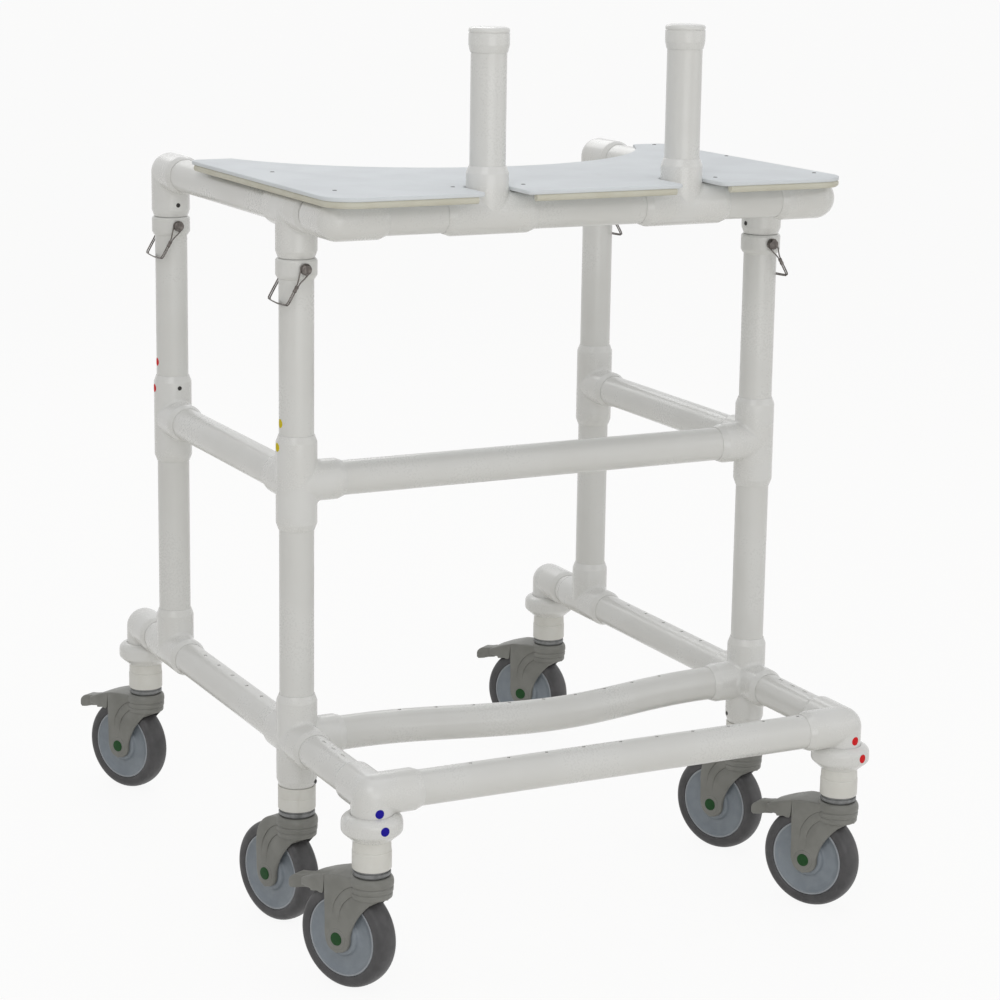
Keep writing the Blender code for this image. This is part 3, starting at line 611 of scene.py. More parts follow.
class Finishes:
    """Every finish on the walker, each made once."""

    PIPE = Finish(
        "white_pipe", "white_pvc", (0.745, 0.745, 0.725), (0.72, 0.718, 0.695), 0.30, 90 * MM, 2.5 * MM, 0.006 * MM,
        (0.68, 0.675, 0.645), 26 * MM, 0.70, coat=0.2,
    )
    FITTING = Finish(
        "white_fitting", "white_pvc", (0.765, 0.765, 0.748), (0.74, 0.738, 0.715), 0.27, 50 * MM, 1.8 * MM, 0.005 * MM,
        (0.70, 0.695, 0.665), 20 * MM, 0.71, coat=0.25,
    )
    SHEET = Finish(
        "white_sheet_top", "white_sheet", (0.77, 0.805, 0.83), (0.745, 0.775, 0.80), 0.58, 70 * MM, 1.6 * MM,
        0.01 * MM, (0.72, 0.74, 0.755), 34 * MM, 0.66, specular=0.18,
    )
    # Painted shade: a cream bead colour that stands in for the warm shade under the board's edge.
    SEAL = Finish(
        "aged_seal", "cream_sleeve", (0.67, 0.655, 0.56), (0.635, 0.615, 0.515), 0.5, 30 * MM, 1.5 * MM, specular=0.2,
    )
    SLEEVE = Finish(
        "pale_sleeve_plastic", "cream_sleeve", (0.745, 0.74, 0.70), (0.715, 0.705, 0.66), 0.40, 25 * MM, 1.5 * MM,
        0.01 * MM, (0.66, 0.645, 0.59), 14 * MM, 0.66,
    )
    NYLON = Finish(
        "grey_nylon_moulded", "grey_nylon", (0.222, 0.222, 0.205), (0.194, 0.194, 0.178), 0.45, 22 * MM, 0.8 * MM,
        0.03 * MM, (0.27, 0.27, 0.255), 10 * MM, 0.66,
    )
    WHEEL = Finish(
        "pale_grey_wheel_centre", "pale_grey_wheel", (0.245, 0.277, 0.312), (0.218, 0.247, 0.28), 0.40, 16 * MM,
        0.9 * MM, 0.02 * MM, (0.31, 0.325, 0.34), 9 * MM, 0.64,
    )
    RUBBER = Finish(
        "dark_grey_tyre", "dark_grey_rubber", (0.064, 0.062, 0.065), (0.05, 0.049, 0.051), 0.52, 14 * MM, 0.7 * MM,
        0.03 * MM, (0.10, 0.098, 0.10), 8 * MM, 0.62, coat=0.08,
    )
    STEEL = Finish(
        "tarnished_wire", "wire_steel", (0.17, 0.155, 0.145), (0.11, 0.098, 0.09), 0.36, 4 * MM, 0.5 * MM, 0.02 * MM,
        (0.30, 0.27, 0.25), 3 * MM, 0.58, metallic=1.0,
    )
    SCREW = Finish(
        "screw_steel", "wire_steel", (0.055, 0.052, 0.05), (0.04, 0.038, 0.036), 0.42, 2 * MM, 0.3 * MM, 0.01 * MM,
        metallic=0.4, specular=0.3,
    )
    RING = Finish(
        "wheel_bright_ring", "pale_grey_wheel", (0.36, 0.385, 0.415), (0.32, 0.345, 0.375), 0.34, 14 * MM, 0.9 * MM,
        0.01 * MM,
    )
    GREEN = Finish(
        "green_axle_cap", "grey_nylon", (0.014, 0.072, 0.018), (0.010, 0.058, 0.014), 0.50, 4 * MM, 0.6 * MM, 0.02 * MM,
        specular=0.2,
    )
    SWIVEL = Finish(
        "swivel_steel", "wire_steel", (0.22, 0.225, 0.225), (0.16, 0.163, 0.163), 0.36, 6 * MM, 0.6 * MM, 0.01 * MM,
        metallic=0.5,
    )
    RED = Finish(
        "red_mark", "white_pvc", (0.74, 0.016, 0.02), (0.68, 0.013, 0.016), 0.55, 2 * MM, 0.5 * MM, 0.01 * MM,
        specular=0.15,
    )
    BLUE = Finish(
        "blue_mark", "white_pvc", (0.014, 0.008, 0.34), (0.011, 0.006, 0.30), 0.55, 2 * MM, 0.5 * MM, 0.01 * MM,
        specular=0.15,
    )
    YELLOW = Finish(
        "yellow_mark", "white_pvc", (0.72, 0.58, 0.015), (0.66, 0.53, 0.012), 0.55, 2 * MM, 0.5 * MM, 0.01 * MM,
        specular=0.15,
    )

    _made: dict[str, bpy.types.Material] = {}

    @classmethod
    def material(cls, finish: Finish) -> bpy.types.Material:
        """The material of a finish, built when it is first asked for.

        Args:
            finish: The finish.

        Returns:
            Its material.
        """
        if finish.name not in cls._made:
            cls._made[finish.name] = finish.material()
        return cls._made[finish.name]


def place(mesh: bpy.types.Mesh, name: str, finish: Finish, body: str, nodes: Iterable[str] = ()) -> None:
    """Set a piece on its body.

    Args:
        mesh: The piece's mesh, in the walker's frame.
        name: The piece's name.
        finish: Its finish.
        body: The body that it moves with.
        nodes: The solids that it stands for.
    """
    mesh.materials.append(Finishes.material(finish))
    made = bpy.data.objects.new(name, mesh)
    bpy.context.scene.collection.objects.link(made)
    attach(made, body)
    for node in nodes:
        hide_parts(node)
    LOG.info("%s rides on %s with %d faces", name, body, len(mesh.polygons))


# The walker


@dataclass(frozen=True)
class Layout:
    """Where the walker's axes lie, in metres."""

    post: dict[Side, float]
    grip: dict[Side, float]
    corner: float
    front: float
    rear: float
    tail: float
    rail: float
    base: float
    mid: float
    table: float
    lock: float
    swivels: dict[str, Vector]
    turns: dict[str, float]

    @classmethod
    def measured(cls, frame: dict) -> "Layout":
        """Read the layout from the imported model.


        Returns:
            The layout.
        """
        at = {joint["name"]: Vector(joint["pos_m"]) for joint in frame["joints"] if joint.get("pos_m")}
        axes = {joint["name"]: joint["axis"] for joint in frame["joints"]}

        def middle(node: str) -> Vector:
            """The middle of a node's box."""
            low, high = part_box(node)
            return (Vector(low) + Vector(high)) / 2

        pins = {side: at[f"lock_pin_front_{side.word}_turn"] for side in Side}
        swivel = "caster_swivel_"
        swivels = {name.removeprefix(swivel): spot for name, spot in at.items() if name.startswith(swivel)}
        turns = {name: atan2(axes[f"wheel_spin_{name}"][1], axes[f"wheel_spin_{name}"][0]) for name in swivels}
        return cls(
            post={side: pin.x for side, pin in pins.items()},
            grip={side: middle(f"hand_grip_{side.word}").x for side in Side},
            corner=swivels["front_left"].y,
            front=pins[Side.LEFT].y,
            rear=at["lock_pin_rear_left_turn"].y,
            tail=swivels["rear_left"].y,
            rail=middle("hand_grip_left").y,
            base=middle("base_front_rail").z,
            mid=middle("mid_rail_left").z,
            table=middle("mid_rail_left").z + TABLE_OVER_MID,
            lock=pins[Side.LEFT].z,
            swivels=swivels,
            turns=turns,
        )

    def depth(self, upright: Upright) -> float:
        """How far back an upright stands."""
        return {Upright.FRONT: self.front, Upright.REAR: self.rear, Upright.CORNER: self.corner}[upright]

    def posts(self, side: Side) -> dict[Upright, Vector]:
        """The places of a side's two posts, on the floor."""
        return {post: Vector((self.post[side], self.depth(post), 0)) for post in (Upright.FRONT, Upright.REAR)}


@dataclass(frozen=True)
class Pipework:
    """Pipes and their fittings, in the sizes that the whole walker shares."""

    pipe: float = 21.1 * MM
    bore: float = 17.5 * MM
    fitting: float = 25.0 * MM
    arm: float = 58.0 * MM
    drop: float = 50.0 * MM
    leg: float = 16.7 * MM
    leg_bore: float = 13.3 * MM
    stop: float = 26.3 * MM
    lip: float = 3.2 * MM
    taper: float = 8.5 * MM
    gap: float = 0.05 * MM
    edge: float = 0.9 * MM
    fillet: float = 5.0 * MM
    hole: float = 2.3 * MM
    sides: int = 72
    hole_sides: int = 20

    def pipe_run(self, mould: Mould, start: Vector, end: Vector) -> None:
        """An open pipe.

        Args:
            mould: Where the pipe goes.
            start: The middle of its first end.
            end: The middle of its other end.
        """
        length = (end - start).length
        outline = [(self.bore, 0), (self.pipe, 0), (self.pipe, length), (self.bore, length), (self.bore, 0)]
        mould.turned(outline, start, end - start, self.sides)

    def socket(self, mould: Mould, centre: Vector, towards: Vector, length: float, pipe: float) -> None:
        """One arm of a fitting, with its tapered mouth round the pipe.

        Args:
            mould: Where the arm goes.
            centre: The fitting's centre.
            towards: The arm's direction.
            length: How far its mouth is from the centre.
            pipe: The radius of what goes into it.
        """
        inner = pipe + self.gap
        corners = [
            (self.fitting, 0),
            (self.fitting, length - self.taper),
            (self.fitting - self.lip, length),
            (inner, length),
            (inner, length - self.taper),
        ]
        mould.turned(eased(corners, self.edge), centre, towards, self.sides)

    def fitting_body(
        self, mould: Mould, centre: Vector, arms: Sequence[tuple[Vector, float, float]], elbow: bool = False
    ) -> None:
        """A fitting whose arms stand square to each other, with moulded inner corners.

        Args:
            mould: Where the fitting goes.
            centre: Where the arms' axes cross.
            arms: Each arm's direction, length and the radius of what goes into it.
            elbow: Whether the fitting has a rounded outer corner.
        """
        for towards, length, pipe in arms:
            self.socket(mould, centre, towards, length, pipe)
        for i, (first, _, _) in enumerate(arms):
            for second, _, _ in arms[i + 1 :]:
                if abs(first.dot(second)) < SQUARE:
                    mould.crotch(centre, first, second, self.fitting, self.fillet)
        if elbow:
            mould.turned(arc((0, 0), self.fitting, -pi / 2, pi / 2, 36), centre, Z, self.sides)

    def drills(self, places: Iterable[Vector]) -> Mould:
        """Round drills down through the top wall of a level pipe.

        Args:
            places: The points on the pipe's axis under the holes.

        Returns:
            The drills.
        """
        tool = Mould()
        for at in places:
            tool.rod(at + Z * self.pipe / 2, Z, self.hole, (0, self.pipe), self.hole_sides)
        return tool


@dataclass(frozen=True)
class BaseFrame:
    """The base: front rail, bent cross rail, side rails, corners, junctions and rear corners."""

    layout: Layout
    work: Pipework
    front_holes: int = 10
    cross_holes: int = 9
    side_holes: int = 5
    drain_pitch: float = 50 * MM
    drain_shift: float = 43 * MM
    cross_pitch: float = 46 * MM
    bow: float = 37 * MM
    bow_half: float = 245 * MM
    bow_middle: float = 23 * MM
    bow_steps: int = 60
    bore_over: float = 3 * MM
    bore_sides: int = 32
    slot: tuple[float, float, float] = (2.8 * MM, 10 * MM, 28 * MM)
    slot_depth: float = 1.3 * MM
    slots: int = 3

    def build(self) -> None:
        """Build and dress the base."""
        self._front_rail()
        self._cross_rail()
        for side in Side:
            self._side_rail(side)
            self._corner(side)
            self._junction(side)
            self._rear_corner(side)

    def _row(self, count: int, pitch: float, middle: float) -> list[float]:
        """The places of a row of holes along a rail."""
        return [middle + (i - (count - 1) / 2) * pitch for i in range(count)]

    def _span(self) -> Point:
        """Where the rails across the walker start and end."""
        stop = self.work.stop
        return self.layout.post[Side.LEFT] + stop, self.layout.post[Side.RIGHT] - stop

    def _front_rail(self) -> None:
        """The straight rail with its row of drain holes."""
        low, high = self._span()
        y, z = self.layout.corner, self.layout.base
        mould = Mould()
        self.work.pipe_run(mould, Vector((low, y, z)), Vector((high, y, z)))
        holes = [Vector((x, y, z)) for x in self._row(self.front_holes, self.drain_pitch, self.drain_shift)]
        mould.drilled(self.work.drills(holes))
        place(mould.mesh("front_rail"), "front_base_rail", Finishes.PIPE, "frame", ["base_front_rail"])

    def _bowed(self, x: float) -> float:
        """How far back the bent rail lies at a place along it."""
        away = min(abs(x - self.bow_middle) / self.bow_half, 1.0)
        return self.layout.front - self.bow * (1 + cos(pi * away)) / 2

    def _cross_rail(self) -> None:
        """The rail that is bent forward in its middle."""
        low, high = self._span()
        z = self.layout.base
        xs = [low + (high - low) * i / self.bow_steps for i in range(self.bow_steps + 1)]
        mould, hollow = Mould(), Mould()
        mould.swept([Vector((x, self._bowed(x), z)) for x in xs], self.work.pipe, self.work.sides)
        over = [low - self.bore_over, *xs, high + self.bore_over]
        hollow.swept([Vector((x, self._bowed(x), z)) for x in over], self.work.bore, self.bore_sides)
        mould.drilled(hollow)
        holes = self._row(self.cross_holes, self.cross_pitch, (low + high) / 2)
        mould.drilled(self.work.drills(Vector((x, self._bowed(x), z)) for x in holes))
        place(mould.mesh("cross_rail"), "bent_cross_rail", Finishes.PIPE, "frame", ["base_cross_rail"])

    def _side_rail(self, side: Side) -> None:
        """A rear side rail.

        Args:
            side: The side of the walker.
        """
        x, z = self.layout.post[side], self.layout.base
        low, high = self.layout.front + self.work.stop, self.layout.rear - self.work.stop
        mould = Mould()
        self.work.pipe_run(mould, Vector((x, low, z)), Vector((x, high, z)))
        holes = [Vector((x, y, z)) for y in self._row(self.side_holes, self.drain_pitch, (low + high) / 2)]
        mould.drilled(self.work.drills(holes))
        name = f"base_side_rail_{side.word}"
        place(mould.mesh(name), f"side_pipe_{side.word}", Finishes.PIPE, "frame", [name])

    def _corner(self, side: Side) -> None:
        """A front corner and the slotted stub behind it.

        Args:
            side: The side of the walker.
        """
        work, layout = self.work, self.layout
        x, z = layout.post[side], layout.base
        centre = Vector((x, layout.corner, z))
        mould = Mould()
        arms = [(-Z, work.drop, work.pipe), (Y, work.arm, work.pipe), (side.inward, work.arm, work.pipe)]
        work.fitting_body(mould, centre, arms, elbow=True)
        name = f"base_corner_{side.word}"
        place(mould.mesh("corner"), f"front_corner_{side.word}", Finishes.FITTING, "frame", [name])
        stub = Mould()
        work.pipe_run(stub, centre + Y * work.stop, Vector((x, layout.front - work.stop, z)))
        width, length, pitch = self.slot
        half = width / 2
        tool = Mould()
        for y in self._row(self.slots, pitch, (layout.corner + layout.front) / 2):
            outline = arc((x, y + length / 2 - half), half, 0, pi, 8)
            outline += arc((x, y - length / 2 + half), half, pi, 2 * pi, 8)
            tool.slab(outline, z + work.pipe - self.slot_depth, z + work.pipe * 1.5, 0.1 * MM, Matrix())
        stub.drilled(tool)
        place(stub.mesh("stub"), f"slotted_stub_{side.word}", Finishes.PIPE, "frame")

    def _junction(self, side: Side) -> None:
        """The five-way junction at a front post.

        Args:
            side: The side of the walker.
        """
        work = self.work
        centre = Vector((self.layout.post[side], self.layout.front, self.layout.base))
        mould = Mould()
        arms = [(towards, work.arm, work.pipe) for towards in (Z, -Z, Y, -Y, side.inward)]
        work.fitting_body(mould, centre, arms)
        name = f"base_junction_{side.word}"
        place(mould.mesh(name), f"junction_{side.word}", Finishes.FITTING, "frame", [name])

    def _rear_corner(self, side: Side) -> None:
        """The tee at the foot of a rear post and the elbow over the rear caster.

        Args:
            side: The side of the walker.
        """
        work, layout = self.work, self.layout
        tee = Vector((layout.post[side], layout.rear, layout.base))
        elbow = Vector((layout.post[side], layout.tail, layout.base))
        mould = Mould()
        work.fitting_body(mould, tee, [(towards, work.arm, work.pipe) for towards in (Z, Y, -Y)])
        work.fitting_body(mould, elbow, [(-Y, work.arm, work.pipe), (-Z, work.drop, work.pipe)], elbow=True)
        work.pipe_run(mould, tee + Y * work.stop, elbow - Y * work.stop)
        name = f"base_rear_corner_{side.word}"
        place(mould.mesh(name), f"rear_corner_{side.word}", Finishes.FITTING, "frame", [name])


@dataclass(frozen=True)
class Posts:
    """The posts, the fittings at mid height, the mid rails and the couplings."""

    layout: Layout
    work: Pipework
    coupling: float = 24 * MM
    lock_hole: float = 4 * MM
    lock_sides: int = 28
    lock_over: float = 5 * MM
    table_gap: float = 0.3 * MM

    def build(self) -> None:
        """Build and dress the posts and the mid rails."""
        work, layout = self.work, self.layout
        for side in Side:
            for post, foot in layout.posts(side).items():
                self._lower(side, post, foot)
                self._upper(side, post, foot)
            x = layout.post[side]
            mould = Mould()
            start = Vector((x, layout.front + work.stop, layout.mid))
            work.pipe_run(mould, start, Vector((x, layout.rear - work.stop, layout.mid)))
            name = f"mid_rail_{side.word}"
            place(mould.mesh(name), f"mid_side_pipe_{side.word}", Finishes.PIPE, "frame", [name])
        mould = Mould()
        start = Vector((layout.post[Side.LEFT] + work.stop, layout.front, layout.mid))
        end = Vector((layout.post[Side.RIGHT] - work.stop, layout.front, layout.mid))
        work.pipe_run(mould, start, end)
        place(mould.mesh("mid_front"), "mid_front_pipe", Finishes.PIPE, "frame", ["mid_rail_front"])

    def _lower(self, side: Side, post: Upright, foot: Vector) -> None:
        """A lower post with its fitting at mid height.

        Args:
            side: The side of the walker.
            post: Which of its posts.
            foot: The place of the post on the floor.
        """
        work, layout = self.work, self.layout
        centre = foot + Z * layout.mid
        directions = [Z, -Z, Y, side.inward] if post is Upright.FRONT else [Z, -Z, -Y]
        mould = Mould()
        work.fitting_body(mould, centre, [(towards, work.arm, work.pipe) for towards in directions])
        fitting = f"mid_fitting_{post.value}_{side.word}"
        node = f"lower_post_{post.value}_{side.word}"
        place(mould.mesh(fitting), fitting, Finishes.FITTING, "frame", [node])
        pipe = Mould()
        work.pipe_run(pipe, foot + Z * (layout.base + work.stop), centre - Z * work.stop)
        place(pipe.mesh(node), f"lower_pipe_{post.value}_{side.word}", Finishes.PIPE, "frame")

    def _upper(self, side: Side, post: Upright, foot: Vector) -> None:
        """An upper post with the coupling on its top.

        Args:
            side: The side of the walker.
            post: Which of its posts.
            foot: The place of the post on the floor.
        """
        work, layout = self.work, self.layout
        top = layout.table - work.arm - self.table_gap
        start, ledge = layout.mid + work.stop, top - self.coupling
        pipe = [(work.bore, start), (work.pipe, start), (work.pipe, ledge + 2 * MM)]
        ring = [
            (work.pipe, ledge - 0.5 * MM),
            (work.pipe + 1.2 * MM, ledge),
            (work.fitting, ledge + 4.5 * MM),
            (work.fitting, top - 2.2 * MM),
            (work.fitting - 1.6 * MM, top),
            (work.bore, top),
        ]
        mould = Mould()
        mould.turned([*pipe, *eased(ring, 0.8 * MM), (work.bore, start)], foot, Z, work.sides)
        tool = Mould()
        reach = work.fitting + self.lock_over
        tool.rod(foot + Z * layout.lock - Y * reach, Y, self.lock_hole, (0, 2 * reach), self.lock_sides)
        mould.drilled(tool)
        name = f"upper_post_{post.value}_{side.word}"
        place(mould.mesh(name), f"upper_pipe_{post.value}_{side.word}", Finishes.PIPE, "frame", [name])


@dataclass(frozen=True)
class LockPins:
    """The four lock pins: turned head, pin, and a doubled wire bail with its ferrule."""

    layout: Layout
    head: float = 6.5 * MM
    shank: float = 3.2 * MM
    seat: float = 25.3 * MM
    tip: float = 34 * MM
    wire: float = 0.85 * MM
    off: float = 29.5 * MM
    reach: float = 47.5 * MM
    pair: float = 1.15 * MM
    bend: float = 5 * MM
    ferrule: float = 22 * MM
    lean: float = 30.0
    sides: int = 40
    wire_sides: int = 10
    ferrule_sides: int = 24
    pin_crisp: float = 40.0
    wire_crisp: float = 60.0

    def build(self) -> None:
        """Build and dress the four pins."""
        for side in Side:
            for post, foot in self.layout.posts(side).items():
                at = foot + Z * self.layout.lock
                where = f"{post.value}_{side.word}"
                name, body = f"lock_pin_{where}", f"pin_{where}"
                place(self._pin(at).mesh(name, self.pin_crisp), body, Finishes.STEEL, body, [name])
                wire = self._bail(at, side).mesh("bail", self.wire_crisp)
                place(wire, f"bail_{where}", Finishes.STEEL, body)

    def _pin(self, at: Vector) -> Mould:
        """The turned pin, its head to the front.

        Args:
            at: Where its axis crosses the post's.

        Returns:
            Its mould.
        """
        head, shank = self.head, self.shank
        back = -self.seat - 8 * MM
        outline = [
            (0, back + 0.6 * MM),
            (head * 0.55, back + 0.5 * MM),
            (head * 0.62, back),
            (head - 1 * MM, back),
            (head, back + 1 * MM),
            (head, back + 2.4 * MM),
            (head - 1.1 * MM, back + 3.0 * MM),
            (head - 1.1 * MM, back + 4.8 * MM),
            (head, back + 5.4 * MM),
            (head, -self.seat - 0.6 * MM),
            (head - 0.6 * MM, -self.seat),
            (shank, -self.seat),
            (shank, self.tip - 2.4 * MM),
            (shank - 1.2 * MM, self.tip - 0.4 * MM),
            (0, self.tip),
        ]
        mould = Mould()
        mould.turned(eased(outline, 0.35 * MM, 2), at, Y, self.sides)
        return mould

    def _bail(self, at: Vector, side: Side) -> Mould:
        """The wire: round the head, through the ferrule, past the post and round the pin's tip.

        Args:
            at: Where the pin's axis crosses the post's.
            side: The side of the walker, to which the wire leans.

        Returns:
            Its mould, with the ferrule.
        """
        lean = radians(self.lean)
        down = Vector((side.value * sin(lean), 0, -cos(lean)))
        apart = Vector((cos(lean), 0, side.value * sin(lean)))
        round_head, round_tip = self.head + self.wire - 0.9 * MM, self.shank + self.wire + 0.2 * MM
        bend = self.bend
        half = [
            (-round_head, 0.0, -self.off),
            (round_head * cos(radians(140)), round_head * sin(radians(140)), -self.off),
            (round_head * cos(radians(100)), round_head * sin(radians(100)), -self.off),
            (round_head * cos(radians(62)), round_head * sin(radians(62)), -self.off),
            (11 * MM, 3.6 * MM, -self.off),
            (17 * MM, 1.7 * MM, -self.off),
            (self.ferrule, self.pair, -self.off),
            (32 * MM, self.pair, -self.off),
            (self.reach - bend, self.pair, -self.off),
            (self.reach - 0.3 * bend, self.pair, -self.off + 0.3 * bend),
            (self.reach, self.pair, -self.off + bend),
            (self.reach + 1.2 * MM, self.pair, 0.0),
            (self.reach, self.pair, self.off - bend),
            (self.reach - 0.3 * bend, self.pair, self.off - 0.3 * bend),
            (self.reach - bend, self.pair, self.off),
            (18 * MM, self.pair, self.off),
            (9 * MM, 2.0 * MM, self.off),
            (round_tip * cos(radians(60)), round_tip * sin(radians(60)), self.off),
            (round_tip * cos(radians(110)), round_tip * sin(radians(110)), self.off),
            (-round_tip, 0.0, self.off),
        ]
        mould = Mould()
        for sign in (-1, 1):
            path = [at + down * t + apart * w * sign + Y * y for t, w, y in smooth(half, 5)]
            mould.swept(path, self.wire, self.wire_sides)
        start = at + down * self.ferrule - Y * self.off
        crimp = [(0, 0), (2.1, 0), (2.45, 0.4), (2.45, 2.4), (2.2, 2.9), (2.2, 5.1), (2.45, 5.6), (2.45, 7.6)]
        mould.turned(in_mm([*crimp, (2.1, 8), (0, 8)]), start, down, self.ferrule_sides)
        return mould


@dataclass(frozen=True)
class SupportTable:
    """The sliding part: legs, side rails, front rail, grips and board."""

    layout: Layout
    work: Pipework
    grip_arm: float = 55.5 * MM
    cap: float = 24.0 * MM
    board_left: float = -0.3355
    board_right: float = 0.349
    board_front: float = -0.378
    board_corner: float = 38 * MM
    board_tip: float = 13 * MM
    board_edge: float = 1.5 * MM
    board_crisp: float = 50.0
    # A cream bead under the board's outer edges, whose colour paints the warm shade there.
    seal: float = 4.3 * MM
    seal_pressed: float = 0.8 * MM
    seal_apart: float = 2 * MM
    seal_back: float = 4 * MM
    seal_sides: int = 20
    arc_radius: float = 310 * MM
    arc_crest: float = -0.121
    notch: float = 27.2 * MM
    notch_lip: float = 8 * MM
    leg_foot: float = 0.6388
    leg_top: float = 10 * MM
    lock_hole: float = 4 * MM
    lock_pitch: float = 25.4 * MM
    lock_holes: int = 7
    leg_sides: int = 56

    def build(self) -> None:
        """Build and dress the table."""
        for side in Side:
            self._side_rail(side)
            self._grip(side)
        self._front_rail()
        self._board()

    def _side_rail(self, side: Side) -> None:
        """A side rail with its rear elbow, tee, front elbow and two legs.

        Args:
            side: The side of the walker.
        """
        work, layout = self.work, self.layout
        x, z = layout.post[side], layout.table
        rear, tee, corner = (Vector((x, y, z)) for y in (layout.rear, layout.front, layout.rail))
        mould = Mould()
        work.fitting_body(mould, rear, [(-Y, work.arm, work.pipe), (-Z, work.arm, work.leg)], elbow=True)
        arms = [(Y, work.arm, work.pipe), (-Y, work.arm, work.pipe), (-Z, work.arm, work.leg)]
        work.fitting_body(mould, tee, arms)
        arms = [(Y, work.arm, work.pipe), (side.inward, work.arm, work.pipe)]
        work.fitting_body(mould, corner, arms, elbow=True)
        name = f"table_side_rail_{side.word}"
        place(mould.mesh(name), f"table_fittings_{side.word}", Finishes.FITTING, "table", [name])
        pipe = Mould()
        work.pipe_run(pipe, corner + Y * work.stop, rear - Y * work.stop)
        place(pipe.mesh("side"), f"table_side_pipe_{side.word}", Finishes.PIPE, "table")
        low, high, reach = self.leg_foot, z - self.leg_top, work.fitting
        outline = [(work.leg_bore, low), (work.leg, low), (work.leg, high), (work.leg_bore, high)]
        for post, foot in layout.posts(side).items():
            leg, tool = Mould(), Mould()
            leg.turned([*outline, outline[0]], foot, Z, self.leg_sides)
            for i in range(self.lock_holes):
                at = foot + Z * (layout.lock - i * self.lock_pitch) - Y * reach
                tool.rod(at, Y, self.lock_hole, (0, 2 * reach), work.hole_sides)
            leg.drilled(tool)
            place(leg.mesh("leg"), f"leg_{post.value}_{side.word}", Finishes.PIPE, "table")

    def _front_rail(self) -> None:
        """The front rail with the two tees that hold the grips."""
        work, layout = self.work, self.layout
        y, z = layout.rail, layout.table
        mould, pipe = Mould(), Mould()
        for side in Side:
            arms = [(X, work.arm, work.pipe), (-X, work.arm, work.pipe), (Z, self.grip_arm, work.pipe)]
            work.fitting_body(mould, Vector((layout.grip[side], y, z)), arms)
        start = Vector((layout.post[Side.LEFT] + work.stop, y, z))
        work.pipe_run(pipe, start, Vector((layout.post[Side.RIGHT] - work.stop, y, z)))
        place(mould.mesh("grip_tees"), "grip_tees", Finishes.FITTING, "table", ["table_front_rail"])
        place(pipe.mesh("table_front"), "table_front_pipe", Finishes.PIPE, "table")

    def _grip(self, side: Side) -> None:
        """An upright grip: a pipe with a cap on its top.

        Args:
            side: The side of the walker.
        """
        work, layout, cap = self.work, self.layout, self.cap
        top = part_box(f"hand_grip_{side.word}")[1][2]
        at = Vector((layout.grip[side], layout.rail, 0))
        mould = Mould()
        mould.rod(at, Z, work.pipe, (layout.table + work.stop, top - 20 * MM), work.sides)
        name = f"hand_grip_{side.word}"
        place(mould.mesh(name), f"grip_pipe_{side.word}", Finishes.PIPE, "table", [name])
        corners = [
            (work.pipe + 0.2 * MM, top - 26 * MM),
            (work.pipe + 0.2 * MM, top - 29.3 * MM),
            (work.pipe + 0.9 * MM, top - 29.3 * MM),
            (cap - 0.5 * MM, top - 22.5 * MM),
            (cap, top - 21 * MM),
            (cap, top - 7.6 * MM),
            (cap - 0.8 * MM, top - 7.2 * MM),
            (cap - 0.8 * MM, top - 6.4 * MM),
            (cap, top - 6.0 * MM),
            (cap, top - 3.4 * MM),
            (cap - 1.4 * MM, top - 1.2 * MM),
            (cap - 6 * MM, top - 0.3 * MM),
            (0, top),
        ]
        lid = Mould()
        lid.turned(eased(corners, work.edge), at, Z, work.sides)
        place(lid.mesh("cap"), f"grip_cap_{side.word}", Finishes.FITTING, "table")

    def _board(self) -> None:
        """The sheet with an arc cut out for the body and notches round the grips."""
        (x0, _, z0), (x1, y1, z1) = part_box("table_board")
        middle = (x0 + x1) / 2
        x0, y0, x1 = self.board_left, self.board_front, self.board_right
        r, tip, lip = self.board_corner, self.board_tip, self.notch_lip
        centre_y = self.arc_crest + self.arc_radius
        spread = atan2(sqrt(self.arc_radius**2 - (centre_y - y1) ** 2), centre_y - y1)
        outline = arc((x0 + r, y0 + r), r, pi, 1.5 * pi, 12)
        for side in Side:
            x, y = self.layout.grip[side], self.layout.rail
            outline += arc((x - self.notch - lip, y0 + lip), lip, -pi / 2, 0, 8)
            outline += arc((x, y), self.notch, pi, 0, 24)
            outline += arc((x + self.notch + lip, y0 + lip), lip, pi, 1.5 * pi, 8)
        outline += arc((x1 - r, y0 + r), r, -pi / 2, 0, 12)
        outline += arc((x1 - tip, y1 - tip), tip, 0, pi / 2, 12)
        outline += arc((middle, centre_y), self.arc_radius, -pi / 2 + spread, -pi / 2 - spread, 72)
        outline += arc((x0 + tip, y1 - tip), tip, pi / 2, pi, 12)
        mould = Mould()
        mould.slab(outline, z0, z1, self.board_edge, Matrix())
        place(mould.mesh("board", self.board_crisp), "support_board", Finishes.SHEET, "table", ["table_board"])
        self._seals(y1, z0)

    def _seals(self, rear: float, bottom: float) -> None:
        """A cream bead under the board's outer edges, coloured to paint the warm shade that falls under the board's
        edge.

        Args:
            rear: How far back the board goes.
            bottom: The height of its underside.
        """
        r, inset = self.board_corner, self.seal
        x0, y0, x1 = self.board_left, self.board_front, self.board_right
        clear = self.notch + self.notch_lip + self.seal_apart
        left, right = (self.layout.grip[side] for side in (Side.LEFT, Side.RIGHT))
        back = rear - self.board_tip - self.seal_back
        front_left = arc((x0 + r, y0 + r), r - inset, pi, 1.5 * pi, 14)
        front_right = arc((x1 - r, y0 + r), r - inset, -pi / 2, 0, 14)
        runs = (
            [(x0 + inset, back), *front_left, (left - clear, y0 + inset)],
            [(left + clear, y0 + inset), (right - clear, y0 + inset)],
            [(right + clear, y0 + inset), *front_right, (x1 - inset, back)],
        )
        mould, z = Mould(), bottom - self.seal + self.seal_pressed
        for run in runs:
            mould.swept([Vector((x, y, z)) for x, y in run], self.seal, self.seal_sides)
        # The bead's cream colour paints the warm shade under the board's edge.
        place(mould.mesh("seal"), "board_seal", Finishes.SEAL, "table")


